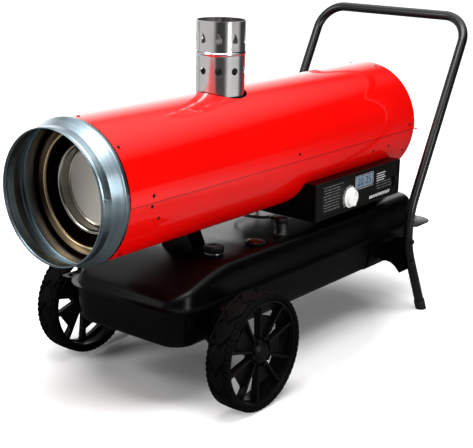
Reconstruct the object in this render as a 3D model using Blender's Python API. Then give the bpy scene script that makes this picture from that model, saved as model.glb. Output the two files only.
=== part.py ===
"""Indirect fired diesel heater on a two-wheeled tank, modelled piece by piece.

Metres, +Z up. The warm air leaves towards -Y, the control panel faces +X, and the origin lies on
the floor under the middle of the heater. Lengthwise places are measured back from the casing front.
"""
import math

import bmesh
import bpy
import numpy as np
from mathutils import Matrix, Vector

for old in list(bpy.data.objects):
    bpy.data.objects.remove(old, do_unlink=True)

# Fits
CLEAR = 0.0003            # gap between pieces that touch or run in each other
OVERRUN = 0.004           # how far a cutting body passes through what it cuts
SINK = 0.0008             # how deep a welded detail starts inside the piece that carries it
SHARP = math.radians(32)  # edges steeper than this stay crisp in the shading

# Facets of the turned pieces
TURN_STEPS = 30
INNER_STEPS = 24
BURNER_STEPS = 24
CASING_STEPS = 28         # facets of each half shell
FLUE_STEPS = 24
RIM_STEPS = 20
TREAD_STEPS = 38
TREAD_PITCH = 2           # steps to a lug
TUBE_SIDES = 12
BEND_STEPS = 4
CORNER_STEPS = 4
HOSE_STEPS = 3            # between two knots of a hose

# Whole heater
AXIS_HEIGHT = 0.5288      # casing axis above the floor
SPIGOT_LENGTH = 0.0735
HANDLE_REACH = 1.3112     # centre of the grip bar behind the casing front
TUBE_RADIUS = 0.0135
CASING_FRONT = SPIGOT_LENGTH - (SPIGOT_LENGTH + HANDLE_REACH + TUBE_RADIUS) / 2

# Casing
CASING_LENGTH = 1.181
CASING_RADIUS = 0.1655
CASING_SHEET = 0.0012
SEAM_DROP = math.radians(2.65)   # seam below mid-height
SEAM_LAP = math.radians(6.0)     # the lower shell reaches this far up inside the upper one
LAP_GAP = 0.0005                 # between the shells where they lap

# Outlet spigot
OUTLET_SHEET = 0.001
OUTLET_SLEEVE = 0.024            # length pushed into the casing
RIM_RADIUS = 0.1521
COLLAR_RADIUS = 0.1674
RIM_ROLL = 0.0022                # depth of the groove behind the rolled rim
# Spigot wall behind the rim: share of the flare from rim to collar, share of the length
SPIGOT_BAND_SHARES = ((0.0, 0.147), (0.03, 0.42), (0.83, 0.76), (1.0, 0.82), (1.0, 0.95))
RIM_SHARE = 0.057                # length of the rolled rim, as a share of the spigot

# Heat exchanger and combustion chamber
DRUM_SETBACK = 0.0285
DRUM_LENGTH = 0.620
DRUM_RADIUS = 0.150
DRUM_BORE_RADIUS = 0.133
DRUM_SHEET = 0.0015
DRUM_ROUNDING = 0.006
CHAMBER_SETBACK = 0.0425
CHAMBER_LENGTH = 0.600
CHAMBER_RADIUS = 0.107
CHAMBER_SHEET = 0.002
CHAMBER_RIM = 0.013              # width of the rolled front ring
CHAMBER_RECESS = 0.032           # depth of the closed front disc
SPACER_LENGTH = 0.022
SPACER_SHEET = 0.003
SPACER_ANGLES = (-90, 30, 150)   # degrees, seen from the front
SPACER_INSET = 0.060             # spacers stand this far in from the drum ends
CROSSOVER_SETBACK = 0.150
CROSSOVER_RADIUS = 0.030
CROSSOVER_SHEET = 0.0015
CROSSOVER_PROUD = 0.003

# Flue
FLUE_SETBACK = 0.494
FLUE_RADIUS = 0.060
FLUE_SHEET = 0.001
FLUE_RISE = 0.3362               # its top above the casing axis
FLUE_FOOT = 0.157                # foot of the pipe above the casing axis
FLUE_PORT_RADIUS = 0.066         # hole in the casing
STUB_SHEET = 0.0015
STUB_SINK = 0.015                # the stub starts this far below the crown of the drum
HOLE_TURN = math.radians(24.5)
# Flame outline, as shares of its width and height
FLAME_SHARES = ((0.0, 0.14), (0.26, 0.0), (0.50, 0.30), (0.30, 0.66), (-0.22, 1.0),
                (-0.12, 0.66), (-0.50, 0.34), (-0.30, 0.02))
STUB_HEIGHT = 0.190              # top of the stub above the casing axis
FLUE_BEAD_DROP = 0.078           # bead below the top of the pipe
FLUE_BEAD = 0.0022
ROUND_HOLE_DROP = 0.119
ROUND_HOLE_RADIUS = 0.0088
FLAME_HOLE_DROP = 0.055          # foot of the flame holes below the top
FLAME_HOLE_HEIGHT = 0.029
FLAME_HOLE_WIDTH = 0.0165
HOLE_COUNT = 9

# Burner
BLAST_SETBACK = 0.5925
BLAST_LENGTH = 0.170
BLAST_RADIUS = 0.045
BLAST_SHEET = 0.0015
AIR_SLOT_COUNT = 8
AIR_SLOT_LENGTH = 0.034
AIR_SLOT_WIDTH = 0.014
AIR_SLOT_INSET = 0.020           # slots end this far from the rear of the blast tube
DIFFUSER_SHEET = 0.0012
DIFFUSER_SETBACK = 0.012         # behind the mouth of the blast tube
DIFFUSER_BORE = 0.014
BURNER_PLATE = 0.003
HOLDER_RADIUS = 0.009
NOZZLE_RADIUS = 0.006
NOZZLE_LENGTH = 0.014
NOZZLE_SETBACK = 0.006           # tip behind the diffuser
HOLDER_PROUD = 0.012             # holder behind the burner plate
ELECTRODE_RADIUS = 0.0013
ELECTRODE_SPREAD = 0.010
INSULATOR_RADIUS = 0.0035
INSULATOR_LENGTH = 0.050
CLAMP_SIZE = 0.010
NOZZLE_LINE_RADIUS = 0.003
DIFFUSER_SLOT_SHARES = (0.25, 0.75)
BURNER_PLATE_SHARES = (0.42, 0.86, 1.0)   # rings of the burner plate, as shares of its radius
PHOTOCELL_SECTORS = (4, 5, 6, 7)     # solid part of the burner plate under the photocell
PHOTOCELL_RADIUS = 0.007
PHOTOCELL_LENGTH = 0.036
PHOTOCELL_OFFSET = 0.028

# Fan end
PUMP_SETBACK = 0.8275
PUMP_LENGTH = 0.046
PUMP_RADIUS = 0.030
PORT_RADIUS = 0.005
PORT_LENGTH = 0.012
PORT_SPREAD = 0.012
MOTOR_GAP = 0.004                # spigot between pump and motor
MOTOR_LENGTH = 0.130
MOTOR_RADIUS = 0.058
MOTOR_RIB = 0.005
MOTOR_RIB_COUNT = 12
MOTOR_BELL = 0.024               # length of each smooth end bell
SPIDER_SHEET = 0.004
SPIDER_RING = 0.009
SPIDER_ARMS = 4
SHAFT_RADIUS = 0.006
SHAFT_ENTRY = 0.010              # shaft inside the pump
FAN_GAP = 0.030                  # motor to fan hub
FAN_HUB_LENGTH = 0.046
FAN_HUB_RADIUS = 0.030
FAN_RADIUS = 0.150
BLADE_COUNT = 6
BLADE_CAMBER = 0.004
BLADE_STATION_SHARES = (0.0, 0.5, 1.0)
# Blade section: share of the chord along it, share of the sheet across it
BLADE_SECTION_SHARES = ((-0.5, -0.5), (0.0, -0.5), (0.5, -0.5), (0.5, 0.5), (0.0, 0.5),
                        (-0.5, 0.5))
BLADE_SHEET = 0.0025
BLADE_ROOT_CHORD = 0.046
BLADE_TIP_CHORD = 0.104
BLADE_ROOT_PITCH = math.radians(38)
BLADE_TIP_PITCH = math.radians(22)
GUARD_INSET = 0.015              # guard rim inside the casing rear
GUARD_WIRE = 0.0032
GUARD_DISH = 0.009
GUARD_SPOKES = 8
GUARD_RINGS = 3
GUARD_HUB = 0.020
STAT_RADIUS = 0.010
STAT_LENGTH = 0.011
STAT_SETBACK = 0.700

# Control box, hung under the casing on the +X side
BOX_LENGTH = 0.417
BOX_SADDLE_GAP = 0.017           # its rear end in front of the rear saddle
BOX_FACE = 0.180                 # panel face from the centre plane
BOX_DROP = 0.1798                # its bottom below the casing axis
BOX_HEIGHT = 0.099
BOX_SHEET = 0.0015
BOX_FAR_ANGLE = math.radians(-110)
PANEL_DEPTH = 0.006
PANEL_RECESS = 0.0018            # label field below the bezel
PANEL_CORNER = 0.006
FIELD_LEFT = 0.024
FIELD_RIGHT = 0.008
FIELD_TOP = 0.009
FIELD_BOTTOM = 0.008
KNOB_PLACE_SHARE = 0.3837        # from the front end of the panel, as a share of its length
KNOB_HEIGHT = 0.037              # above the bottom of the panel
KNOB_RADIUS = 0.028
KNOB_SKIRT = 0.005
KNOB_DEPTH = 0.019
KNOB_GRIP = 0.010
KNOB_STEM = 0.003
KNOB_LIFT = 0.0012               # knob skirt clear of the label field
STAT_BODY_RADIUS = 0.014
STAT_BODY_LENGTH = 0.012
WINDOW_PLACE_SHARE = 0.5564      # centre of the window
WINDOW_HEIGHT = 0.069
WINDOW_WIDTH = 0.084
WINDOW_RISE = 0.032
SWITCH_PLACE_SHARE = 0.9436
SWITCH_HEIGHT = 0.040
SWITCH_WIDTH = 0.021
SWITCH_RISE = 0.030
SWITCH_DEPTH = 0.022
SWITCH_WALL = 0.0015
SWITCH_PROUD = 0.0015
ROCKER_TILT = math.radians(8)
ROCKER_PROUD = 0.0045
ROCKER_SPREAD = 62               # degrees from the middle of the rocker to its tips
ROCKER_DIP = 0.0032
BOARD_SHEET = 0.0016
BOARD_LENGTH = 0.180
BOARD_RISE = 0.078
BOARD_SWITCH_GAP = 0.023         # its rear end in front of the switch
BOARD_GAP = 0.012                # behind the panel
BOARD_POST_RADIUS = 0.003
LCD_DEPTH = 0.0105
TRANSFORMER_SIZE = (0.038, 0.070, 0.028)
TRANSFORMER_SIDE = 0.105
TRANSFORMER_PLACE_SHARE = 0.7194 # as for the knob
CAPACITOR_RADIUS = 0.015
CAPACITOR_LENGTH = 0.060
CAPACITOR_PLACE = (0.112, 0.080)
GLAND_RADIUS = 0.010
GLAND_NUT_RADIUS = 0.013
GLAND_BORE = 0.004
GLAND_LENGTH = 0.022
GLAND_PLACE = (0.140, 0.026)

# Tank
TANK_SETBACK = 0.1225
TANK_LENGTH = 1.1145
TANK_WIDTH = 0.392
TANK_CORNER = 0.080
TANK_SHEET = 0.0015
FLANGE_HEIGHT = 0.2476
TANK_BOTTOM = 0.153
TANK_TOP = 0.322
NOSE_RISE = 0.026                # front of the upper shell above the flange
RAMP_START = 0.020
RAMP_END = 0.215
RAMP_EASE = 1.4                  # 1 is a straight ramp, more rounds its upper end
# Rows of the pressings, from the flange edge inwards: inset and share of the depth
UPPER_ROWS = ((0.0, 0.0), (0.0140, 0.0), (0.0225, 0.62), (0.0290, 0.85), (0.0390, 0.97),
              (0.0520, 1.0))
LOWER_ROWS = ((0.0, 0.0), (0.0140, 0.0), (0.0205, 0.78), (0.0250, 0.94), (0.0330, 1.0))
RAMP_STATION_SHARES = (0.3, 0.65, 1.0)
SIDE_STATION_SHARES = (0.5,)
CORNER_EAR_REACH = 0.028         # ears of the flange at its rear corners, past its side
CORNER_EAR_LENGTH = 0.1135
CORNER_EAR_ROUNDING = 0.050
CORNER_EAR_ROOT = 0.007          # they start this far inside the flange edge
CORNER_EAR_SHY = 0.00025         # faces of the ears below those of the flange

# Tank fittings
NECK_SIDE = 0.088                # from the centre plane
NECK_SPACING = 0.125             # in front of the gauge
NECK_RADIUS = 0.019
NECK_WALL = 0.002
NECK_RISE = 0.014
NECK_DROP = 0.012
NECK_FLANGE = 0.005
NECK_FLANGE_SHEET = 0.002
CAP_RADIUS = 0.026
CAP_WALL = 0.003
CAP_RIB = 0.0014
CAP_RIB_COUNT = 14
STRAINER_LENGTH = 0.070
STRAINER_WALL = 0.0012
STRAINER_SLOTS = 4
DRAIN_PLACE = (0.0, 0.260)       # across, and back from the tank front
DRAIN_RADIUS = 0.009
DRAIN_HEAD = 0.013
DRAIN_HEAD_HEIGHT = 0.006
GAUGE_SIDE = 0.119
GAUGE_SPACING = 0.105            # in front of the filter
GAUGE_RADIUS = 0.0245
GAUGE_RIM = 0.003
GAUGE_RISE = 0.007
GAUGE_STEM = 0.005
GAUGE_PORT = 0.012
GAUGE_PIVOT_DROP = 0.078         # pivot below the tank top
GAUGE_PIN = 0.002
ARM_HUB = 0.006
ARM_WIDTH = 0.004
ARM_RADIUS = 0.0016
ARM_REACH = 0.090
FLOAT_EMPTY = math.radians(38)   # the arm below level in an empty tank
NEEDLE_EMPTY = math.radians(150) # the needle then points to the left end of the dial
FLOAT_RADIUS = 0.013
FLOAT_LENGTH = 0.026
LENS_SHEET = 0.0012
POINTER_LENGTH = 0.017
POINTER_SHEET = 0.0008
POINTER_PIN = 0.001
FILTER_SIDE = 0.122
FILTER_BOX_GAP = 0.071           # its middle in front of the control box
FILTER_RADIUS = 0.017
FILTER_BOWL_HEIGHT = 0.026
FILTER_HEAD_HEIGHT = 0.013
FILTER_BASE = 0.006
HOSE_RADIUS = 0.004
HOSE_HOLE = 0.0080
SUCTION_HOLE = (-0.080, 0.800)   # holes in the casing: across, and back from its front
RETURN_HOLE = (-0.100, 0.830)
BARB_PLACE = (-0.106, 0.800)     # return barb welded on the tank
BARB_RISE = 0.016
# Knots of the hoses: across, back from the casing front, above the floor
SUCTION_ROUTE = ((0.050, 0.606, 0.353), (-0.020, 0.618, 0.345), (-0.068, 0.650, 0.344),
                 (-0.084, 0.710, 0.344), (-0.085, 0.770, 0.350), (-0.080, 0.800, 0.386),
                 (-0.064, 0.822, 0.430))
RETURN_ROUTE = ((-0.106, 0.810, 0.3663), (-0.100, 0.830, 0.400), (-0.080, 0.848, 0.436),
                (0.0, 0.8605, 0.4565))

# Carriers
SADDLE_SHEET = 0.002
FRONT_SADDLE = {"setback": 0.3375, "length": 0.050, "foot": 0.052, "crown": 0.030}
REAR_SADDLE = {"setback": 1.1045, "length": 0.050, "foot": 0.105, "crown": 0.080}
BRACKET_SHEET = 0.003
AXLE_SETBACK = 0.2925
AXLE_BRACKET_LENGTH = 0.084
EAR_REACH = 0.046                # ear past the wall of the tank
AXLE_RADIUS = 0.007
AXLE_COLLAR = 0.012
EAR_ROUNDING = 0.020
LUG_INSET = 0.046                # lug inside the edge of the tank
LUG_SHEET = 0.005
LUG_RADIUS = 0.018
REAR_BRACKET_SETBACK = 0.9455
REAR_BRACKET_LENGTH = 0.084
WING_DROP = 0.136                # lowest point of the wings above the floor
WING_LENGTH = 0.046              # along the handle tube
WING_TOP_DROP = 0.004            # top of the wings below the ears
WING_SAG = 0.013                 # how far their lower edge curves up
WING_STATION_SHARES = (0.25, 0.5, 0.75)
FAR_EAR_REACH = 0.088            # the left ear of the axle bracket runs on towards the front

# Wheels
WHEEL_RADIUS = 0.142
TYRE_WIDTH = 0.0645
WHEEL_FACE = 0.3085              # outer face of the tyre from the centre plane
RIM_SEAT_RADIUS = 0.1255
RIM_WALL = 0.005
RIM_WIDTH = 0.056
WEB_SHEET = 0.005
WEB_OFFSET = 0.006
BOSS_RADIUS = 0.018              # inner end of the hub
HUB_IN = 0.030
HUB_RADIUS = 0.036               # castellated ring round the cap
HUB_WALL = 0.005
HUB_OUT = 0.0255
HUB_FLOOR = 0.0145
NOTCH_COUNT = 10
NOTCH_WIDTH = 0.009
NOTCH_DEPTH = 0.006
SPOKE_COUNT = 5
RIB_SHEET = 0.009
# Ends of a rib, at hub and rim: distance from the axle, from the middle of the spoke, rise
RIB_ENDS = ((0.0320, 0.0125, 0.019), (0.1140, 0.0445, 0.0235))
WINDOW_ROOT = 0.041
WINDOW_TIP = 0.1165
TREAD_DEPTH = 0.0035
HUB_CAP_RADIUS = 0.027
HUB_CAP_HEIGHT = 0.015
AXLE_END = 0.290
WINDOW_ROOT_ANGLE = math.radians(8)      # half of a window at its root and at its tip
WINDOW_TIP_ANGLE = math.radians(12)
WEB_SLOT = (0.086, 0.109)        # slot in each spoke web: from, to
WEB_SLOT_HALVES = (0.028, 0.036)         # half of its width at either end
TYRE_BEAD_SHARE = 0.44           # half of the bead, as a share of the tyre's width
# Sidewall from bead to tread: half as a share of the tyre's width, and depth below the tread
WALL_WIDTH_SHARES = (0.5, 0.485)
WALL_DEPTHS = (0.0085, 0.0045)
TREAD_PLACE_SHARES = (-0.44, 0.0, 0.44)
TREAD_PHASES = (1, 0, 1)         # steps by which each row of lugs trails the middle one
HUB_TURN = math.radians(16.5)      # direction of the first spoke

# Handle frame
TUBE_WALL = 0.0015
TUBE_SPACING = 0.494             # between the two tube centres
KNEE_SETBACK = 1.0147            # where the lines of leg and stile meet
KNEE_HEIGHT = 0.2623
KNEE_BEND = 0.200
FOOT_SETBACK = 1.1428
GRIP_HEIGHT = 0.832
GRIP_BEND = 0.075
FOOT_CAP_WALL = 0.0015
FOOT_CAP_LENGTH = 0.034
FOOT_CAP_SOLE = 0.011

# Places worked out from the sizes above
FLOOR = 0.0
CASING_REAR = CASING_FRONT + CASING_LENGTH
BOX_SETBACK = REAR_SADDLE["setback"] - BOX_SADDLE_GAP - BOX_LENGTH
BOX_BOTTOM = AXIS_HEIGHT - BOX_DROP
FILTER_Y = CASING_FRONT + BOX_SETBACK - FILTER_BOX_GAP
GAUGE_Y = FILTER_Y - GAUGE_SPACING
FLUE_TOP = AXIS_HEIGHT + FLUE_RISE
LOWER_RADIUS = CASING_RADIUS - CASING_SHEET - LAP_GAP
LOWER_BORE = LOWER_RADIUS - CASING_SHEET
UPPER_BORE = CASING_RADIUS - CASING_SHEET
CASING_HALF_STEP = (math.pi + 2 * SEAM_DROP) / CASING_STEPS / 2
SLEEVE_RADIUS = LOWER_BORE * math.cos(CASING_HALF_STEP) - CLEAR
FLUE_Y = CASING_FRONT + FLUE_SETBACK
TANK_FRONT = CASING_FRONT + TANK_SETBACK
TANK_REAR = TANK_FRONT + TANK_LENGTH
AXLE_Y = CASING_FRONT + AXLE_SETBACK
TUBE_X = TUBE_SPACING / 2
WHEEL_X = WHEEL_FACE - TYRE_WIDTH / 2


def linear(hex_code):
    """sRGB hex code to the linear colour that a shader takes."""
    parts = [int(hex_code[i:i + 2], 16) / 255 for i in (1, 3, 5)]
    return [c / 12.92 if c <= 0.04045 else ((c + 0.055) / 1.055) ** 2.4 for c in parts] + [1.0]


def finish(name, hex_code, roughness, metallic=0.0, clear=0.0):
    """A material with one Principled shader."""
    material = bpy.data.materials.new(name)
    material.use_nodes = True
    shader = material.node_tree.nodes["Principled BSDF"]
    shader.inputs["Base Color"].default_value = linear(hex_code)
    shader.inputs["Roughness"].default_value = roughness
    shader.inputs["Metallic"].default_value = metallic
    shader.inputs["Transmission Weight"].default_value = clear
    material.diffuse_color = linear(hex_code)
    return material


RED_PAINT = finish("red_powder_coat", "#e01108", 0.16)
BLACK_PAINT = finish("black_powder_coat", "#232425", 0.38)
BLACK_TUBE = finish("black_tube_paint", "#1b1c1d", 0.32)
GALVANISED = finish("galvanised_sheet", "#c3ccd2", 0.30, 1.0)
STAINLESS = finish("stainless_sheet", "#b9bab8", 0.24, 1.0)
TINTED_STEEL = finish("heat_tinted_steel", "#9b8263", 0.34, 1.0)
CHAMBER_STEEL = finish("heat_resistant_steel", "#8a8d8c", 0.28, 1.0)
ZINC_STEEL = finish("zinc_plated_steel", "#aeb2b3", 0.34, 1.0)
CAST_ALUMINIUM = finish("cast_aluminium", "#9a9c9b", 0.48, 1.0)
BRASS = finish("brass", "#b99a4f", 0.30, 1.0)
BLACK_PLASTIC = finish("black_moulded_plastic", "#1e1f20", 0.45)
WHITE_PLASTIC = finish("white_moulded_plastic", "#f1f1ef", 0.35)
RED_PLASTIC = finish("red_moulded_plastic", "#b3261c", 0.40)
CLEAR_PLASTIC = finish("clear_plastic", "#e9efee", 0.08, 0.0, 0.9)
RUBBER = finish("black_rubber", "#2a2a2a", 0.75)
BOARD_GREEN = finish("circuit_board", "#1f5a34", 0.50)
CERAMIC = finish("white_ceramic", "#e9e6de", 0.35)


def body(name, mesh, material, place=(0.0, 0.0, 0.0), turn=(0.0, 0.0, 0.0)):
    """Put a closed bmesh in the scene as one named object."""
    bmesh.ops.recalc_face_normals(mesh, faces=mesh.faces)
    data = bpy.data.meshes.new(name)
    mesh.to_mesh(data)
    mesh.free()
    data.shade_smooth()
    data.set_sharp_from_angle(angle=SHARP)
    data.materials.append(material)
    piece = bpy.data.objects.new(name, data)
    piece.location = place
    piece.rotation_euler = turn
    bpy.context.scene.collection.objects.link(piece)
    return piece


def tool(name, mesh, place=(0.0, 0.0, 0.0), turn=(0.0, 0.0, 0.0)):
    """A body that only cuts or joins, left out of the model itself."""
    piece = body(name, mesh, BLACK_PLASTIC, place, turn)
    piece.hide_render = True
    piece.display_type = "WIRE"
    return piece


def combine(piece, operation, *tools):
    """Live Boolean modifiers, one for each tool."""
    for other in tools:
        modifier = piece.modifiers.new(operation.lower() + "_" + other.name, "BOOLEAN")
        modifier.operation = operation
        modifier.object = other
    return piece


ALONG_Y = (-math.pi / 2, 0.0, 0.0)   # turns a piece's own Z axis to world +Y
ALONG_X = (0.0, math.pi / 2, 0.0)    # turns it to world +X
ALONG_MINUS_X = (0.0, -math.pi / 2, 0.0)


def loft(rings, loop=False):
    """Skin rings of equally many points. Ends are capped unless the rings close on themselves."""
    mesh = bmesh.new()
    rows = [[mesh.verts.new(point) for point in ring] for ring in rings]
    pairs = list(zip(rows, rows[1:])) + ([(rows[-1], rows[0])] if loop else [])
    for near, far in pairs:
        for i in range(len(near)):
            j = (i + 1) % len(near)
            mesh.faces.new((near[i], near[j], far[j], far[i]))
    if not loop:
        mesh.faces.new(rows[0])
        mesh.faces.new(rows[-1])
    return mesh


def turned(outline, steps):
    """Spin an outline of (radius, height) points about Z. Ends on the axis close the body."""
    mesh = bmesh.new()
    points = [mesh.verts.new((radius, 0.0, height)) for radius, height in outline]
    on_axis = outline[0][0] == 0.0 and outline[-1][0] == 0.0
    chain = list(zip(points, points[1:])) + ([] if on_axis else [(points[-1], points[0])])
    edges = [mesh.edges.new(pair) for pair in chain]
    bmesh.ops.spin(mesh, geom=points + edges, cent=(0, 0, 0), axis=(0, 0, 1),
                   angle=2 * math.pi, steps=steps, use_merge=True)
    bmesh.ops.remove_doubles(mesh, verts=mesh.verts, dist=CLEAR / 100)
    return mesh


def cylinder(radius, start, stop, steps=24):
    return turned([(0.0, start), (radius, start), (radius, stop), (0.0, stop)], steps)


def tube(outer, inner, start, stop, steps=24):
    return turned([(inner, start), (outer, start), (outer, stop), (inner, stop)], steps)


def block(low, high):
    """A box between two corners."""
    mesh = bmesh.new()
    size = [b - a for a, b in zip(low, high)]
    middle = [(a + b) / 2 for a, b in zip(low, high)]
    bmesh.ops.create_cube(mesh, size=1.0,
                          matrix=Matrix.Translation(middle) @ Matrix.Diagonal((*size, 1.0)))
    return mesh


def prism(outline, start, stop, place):
    """Extrude a flat outline. place(u, v, w) gives the point at height w above outline (u, v)."""
    mesh = bmesh.new()
    base = [mesh.verts.new(place(u, v, start)) for u, v in outline]
    face = mesh.faces.new(base)
    raised = bmesh.ops.extrude_face_region(mesh, geom=[face], use_keep_orig=True)
    moved = [item for item in raised["geom"] if isinstance(item, bmesh.types.BMVert)]
    step = Vector(place(0.0, 0.0, stop)) - Vector(place(0.0, 0.0, start))
    bmesh.ops.translate(mesh, verts=moved, vec=step)
    return mesh


def across_y(u, v, w):
    return (u, w, v)


def across_x(u, v, w):
    return (w, u, v)


def across_z(u, v, w):
    return (u, v, w)


def offset_line(line, distance):
    """Shift an open line to its left by a distance, with mitred corners."""
    points = [np.array(p, float) for p in line]
    ways = [(b - a) / np.linalg.norm(b - a) for a, b in zip(points, points[1:])]
    lefts = [np.array((-way[1], way[0])) for way in ways]
    moved = []
    for i, point in enumerate(points):
        before, after = lefts[max(i - 1, 0)], lefts[min(i, len(lefts) - 1)]
        moved.append(point + (before + after) * distance / (1 + before @ after))
    return [tuple(p) for p in moved]


def sheet(line, thickness):
    """Closed outline of sheet metal that follows a line, with its thickness on the left."""
    return list(line) + offset_line(line, thickness)[::-1]


def arc(centre, radius, start, stop, steps):
    """Points on an arc, in radians."""
    return [(centre[0] + radius * math.cos(start + (stop - start) * i / steps),
             centre[1] + radius * math.sin(start + (stop - start) * i / steps))
            for i in range(steps + 1)]


def rounded_rectangle(low, high, radius, steps=4):
    """Outline of a rectangle with round corners, anticlockwise."""
    (left, bottom), (right, top) = low, high
    quarter = math.pi / 2
    centres = ((right - radius, bottom + radius), (right - radius, top - radius),
               (left + radius, top - radius), (left + radius, bottom + radius))
    return [point for i, centre in enumerate(centres)
            for point in arc(centre, radius, (i - 1) * quarter, i * quarter, steps)]


def bent_path(corners, radii, steps):
    """A path of straight runs joined by tangent arcs at its inner corners."""
    points = [Vector(corners[0])]
    for before, corner, after, radius in zip(corners, corners[1:], corners[2:], radii):
        back = (Vector(before) - Vector(corner)).normalized()
        ahead = (Vector(after) - Vector(corner)).normalized()
        half = back.angle(ahead) / 2
        centre = Vector(corner) + (back + ahead).normalized() * (radius / math.sin(half))
        start = Vector(corner) + back * (radius / math.tan(half)) - centre
        stop = Vector(corner) + ahead * (radius / math.tan(half)) - centre
        sweep_angle = math.pi - 2 * half
        for i in range(steps + 1):
            share = i / steps
            mix = (start * math.sin((1 - share) * sweep_angle)
                   + stop * math.sin(share * sweep_angle)) / math.sin(sweep_angle)
            points.append(centre + mix)
    points.append(Vector(corners[-1]))
    return points


def smooth_path(knots, steps):
    """A curve through hand-chosen points, by the Catmull-Rom rule."""
    points = [Vector(p) for p in knots]
    padded = [points[0] * 2 - points[1]] + points + [points[-1] * 2 - points[-2]]
    path = []
    for a, b, c, d in zip(padded, padded[1:], padded[2:], padded[3:]):
        for i in range(steps):
            t = i / steps
            path.append(0.5 * (2 * b + (c - a) * t + (2 * a - 5 * b + 4 * c - d) * t ** 2
                               + (3 * b - a - 3 * c + d) * t ** 3))
    return path + [points[-1]]


def path_rings(path, radius, sides):
    """Circles square to a path, carried along it without twist."""
    ways = [(b - a).normalized() for a, b in zip(path, path[1:])]
    tangents = ([ways[0]] + [(a + b).normalized() for a, b in zip(ways, ways[1:])] + [ways[-1]])
    side = tangents[0].orthogonal().normalized()
    rings = []
    for point, tangent in zip(path, tangents):
        side = (side - tangent * side.dot(tangent)).normalized()
        other = tangent.cross(side)
        rings.append([point + radius * (side * math.cos(2 * math.pi * i / sides)
                                        + other * math.sin(2 * math.pi * i / sides))
                      for i in range(sides)])
    return rings


def rod(path, radius, sides=10):
    return loft(path_rings(path, radius, sides))


def pipe(path, outer, inner, sides=10):
    """A hollow tube with open ends."""
    return loft(path_rings(path, outer, sides) + path_rings(path, inner, sides)[::-1], loop=True)


def polar_plate(radii, sectors, solid, thickness, dish=None):
    """A round plate of polar cells. solid(ring, sector) says which cells are metal."""
    mesh = bmesh.new()
    height = dish or (lambda radius: 0.0)
    grid = [[mesh.verts.new((radius * math.cos(angle), radius * math.sin(angle), height(radius)))
             for angle in sectors] for radius in radii]
    for ring in range(len(radii) - 1):
        for sector in range(len(sectors)):
            if solid(ring, sector):
                after = (sector + 1) % len(sectors)
                mesh.faces.new((grid[ring][sector], grid[ring + 1][sector],
                                grid[ring + 1][after], grid[ring][after]))
    bmesh.ops.delete(mesh, geom=[v for v in mesh.verts if not v.link_faces], context="VERTS")
    bmesh.ops.remove_doubles(mesh, verts=mesh.verts, dist=CLEAR / 100)
    raised = bmesh.ops.extrude_face_region(mesh, geom=mesh.faces[:], use_keep_orig=True)
    moved = [item for item in raised["geom"] if isinstance(item, bmesh.types.BMVert)]
    bmesh.ops.translate(mesh, verts=moved, vec=(0.0, 0.0, thickness))
    return mesh


def joined(*meshes):
    """Several separate solids in one bmesh, for a tool that cuts or joins in many places."""
    whole = bmesh.new()
    for mesh in meshes:
        bmesh.ops.recalc_face_normals(mesh, faces=mesh.faces)
        data = bpy.data.meshes.new("part_of_tool")
        mesh.to_mesh(data)
        mesh.free()
        whole.from_mesh(data)
        bpy.data.meshes.remove(data)
    return whole


def moved(mesh, matrix):
    bmesh.ops.transform(mesh, matrix=matrix, verts=mesh.verts)
    return mesh


def about_z(angle):
    return Matrix.Rotation(angle, 4, "Z")


def on_axis(setback):
    """Place of a piece that lies along the casing axis."""
    return (0.0, CASING_FRONT + setback, AXIS_HEIGHT)


def make_casing():
    def shell(name, outer, inner, start, stop):
        rings = []
        for i in range(CASING_STEPS + 1):
            angle = start + (stop - start) * i / CASING_STEPS
            side, up = math.cos(angle), math.sin(angle)
            rings.append([(radius * side, place, AXIS_HEIGHT + radius * up) for radius, place in
                          ((inner, CASING_FRONT), (outer, CASING_FRONT),
                           (outer, CASING_REAR), (inner, CASING_REAR))])
        return body(name, loft(rings), RED_PAINT)

    upper = shell("casing_upper", CASING_RADIUS, UPPER_BORE, -SEAM_DROP, math.pi + SEAM_DROP)
    port = tool("cut_flue_port", cylinder(FLUE_PORT_RADIUS, AXIS_HEIGHT + DRUM_RADIUS,
                                          AXIS_HEIGHT + CASING_RADIUS + OVERRUN, 32),
                (0.0, FLUE_Y, 0.0))
    combine(upper, "DIFFERENCE", port)
    lower = shell("casing_lower", LOWER_RADIUS, LOWER_BORE, math.pi + SEAM_DROP - SEAM_LAP,
                  2 * math.pi - SEAM_DROP + SEAM_LAP)
    for name, side, setback in (("suction", SUCTION_HOLE[0], SUCTION_HOLE[1]),
                                ("return", RETURN_HOLE[0], RETURN_HOLE[1])):
        hole = cylinder(HOSE_HOLE, AXIS_HEIGHT - CASING_RADIUS - OVERRUN, AXIS_HEIGHT, 16)
        combine(lower, "DIFFERENCE", tool("cut_" + name + "_hole", hole,
                                          (side, CASING_FRONT + setback, 0.0)))


def make_outlet():
    """Rolled rim, groove, flared collar and the plain sleeve that enters the casing."""
    groove, rim_end = RIM_RADIUS - RIM_ROLL, RIM_SHARE * SPIGOT_LENGTH
    line = [(RIM_RADIUS, 0.0), (RIM_RADIUS, rim_end), (groove, rim_end + RIM_ROLL)]
    line += [(RIM_RADIUS + flare * (COLLAR_RADIUS - RIM_RADIUS), share * SPIGOT_LENGTH)
             for flare, share in SPIGOT_BAND_SHARES]
    line += [(SLEEVE_RADIUS, line[-1][1]), (SLEEVE_RADIUS, SPIGOT_LENGTH + OUTLET_SLEEVE)]
    body("outlet_spigot", turned(sheet(line, OUTLET_SHEET), TURN_STEPS), GALVANISED,
         on_axis(-SPIGOT_LENGTH), ALONG_Y)


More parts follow.
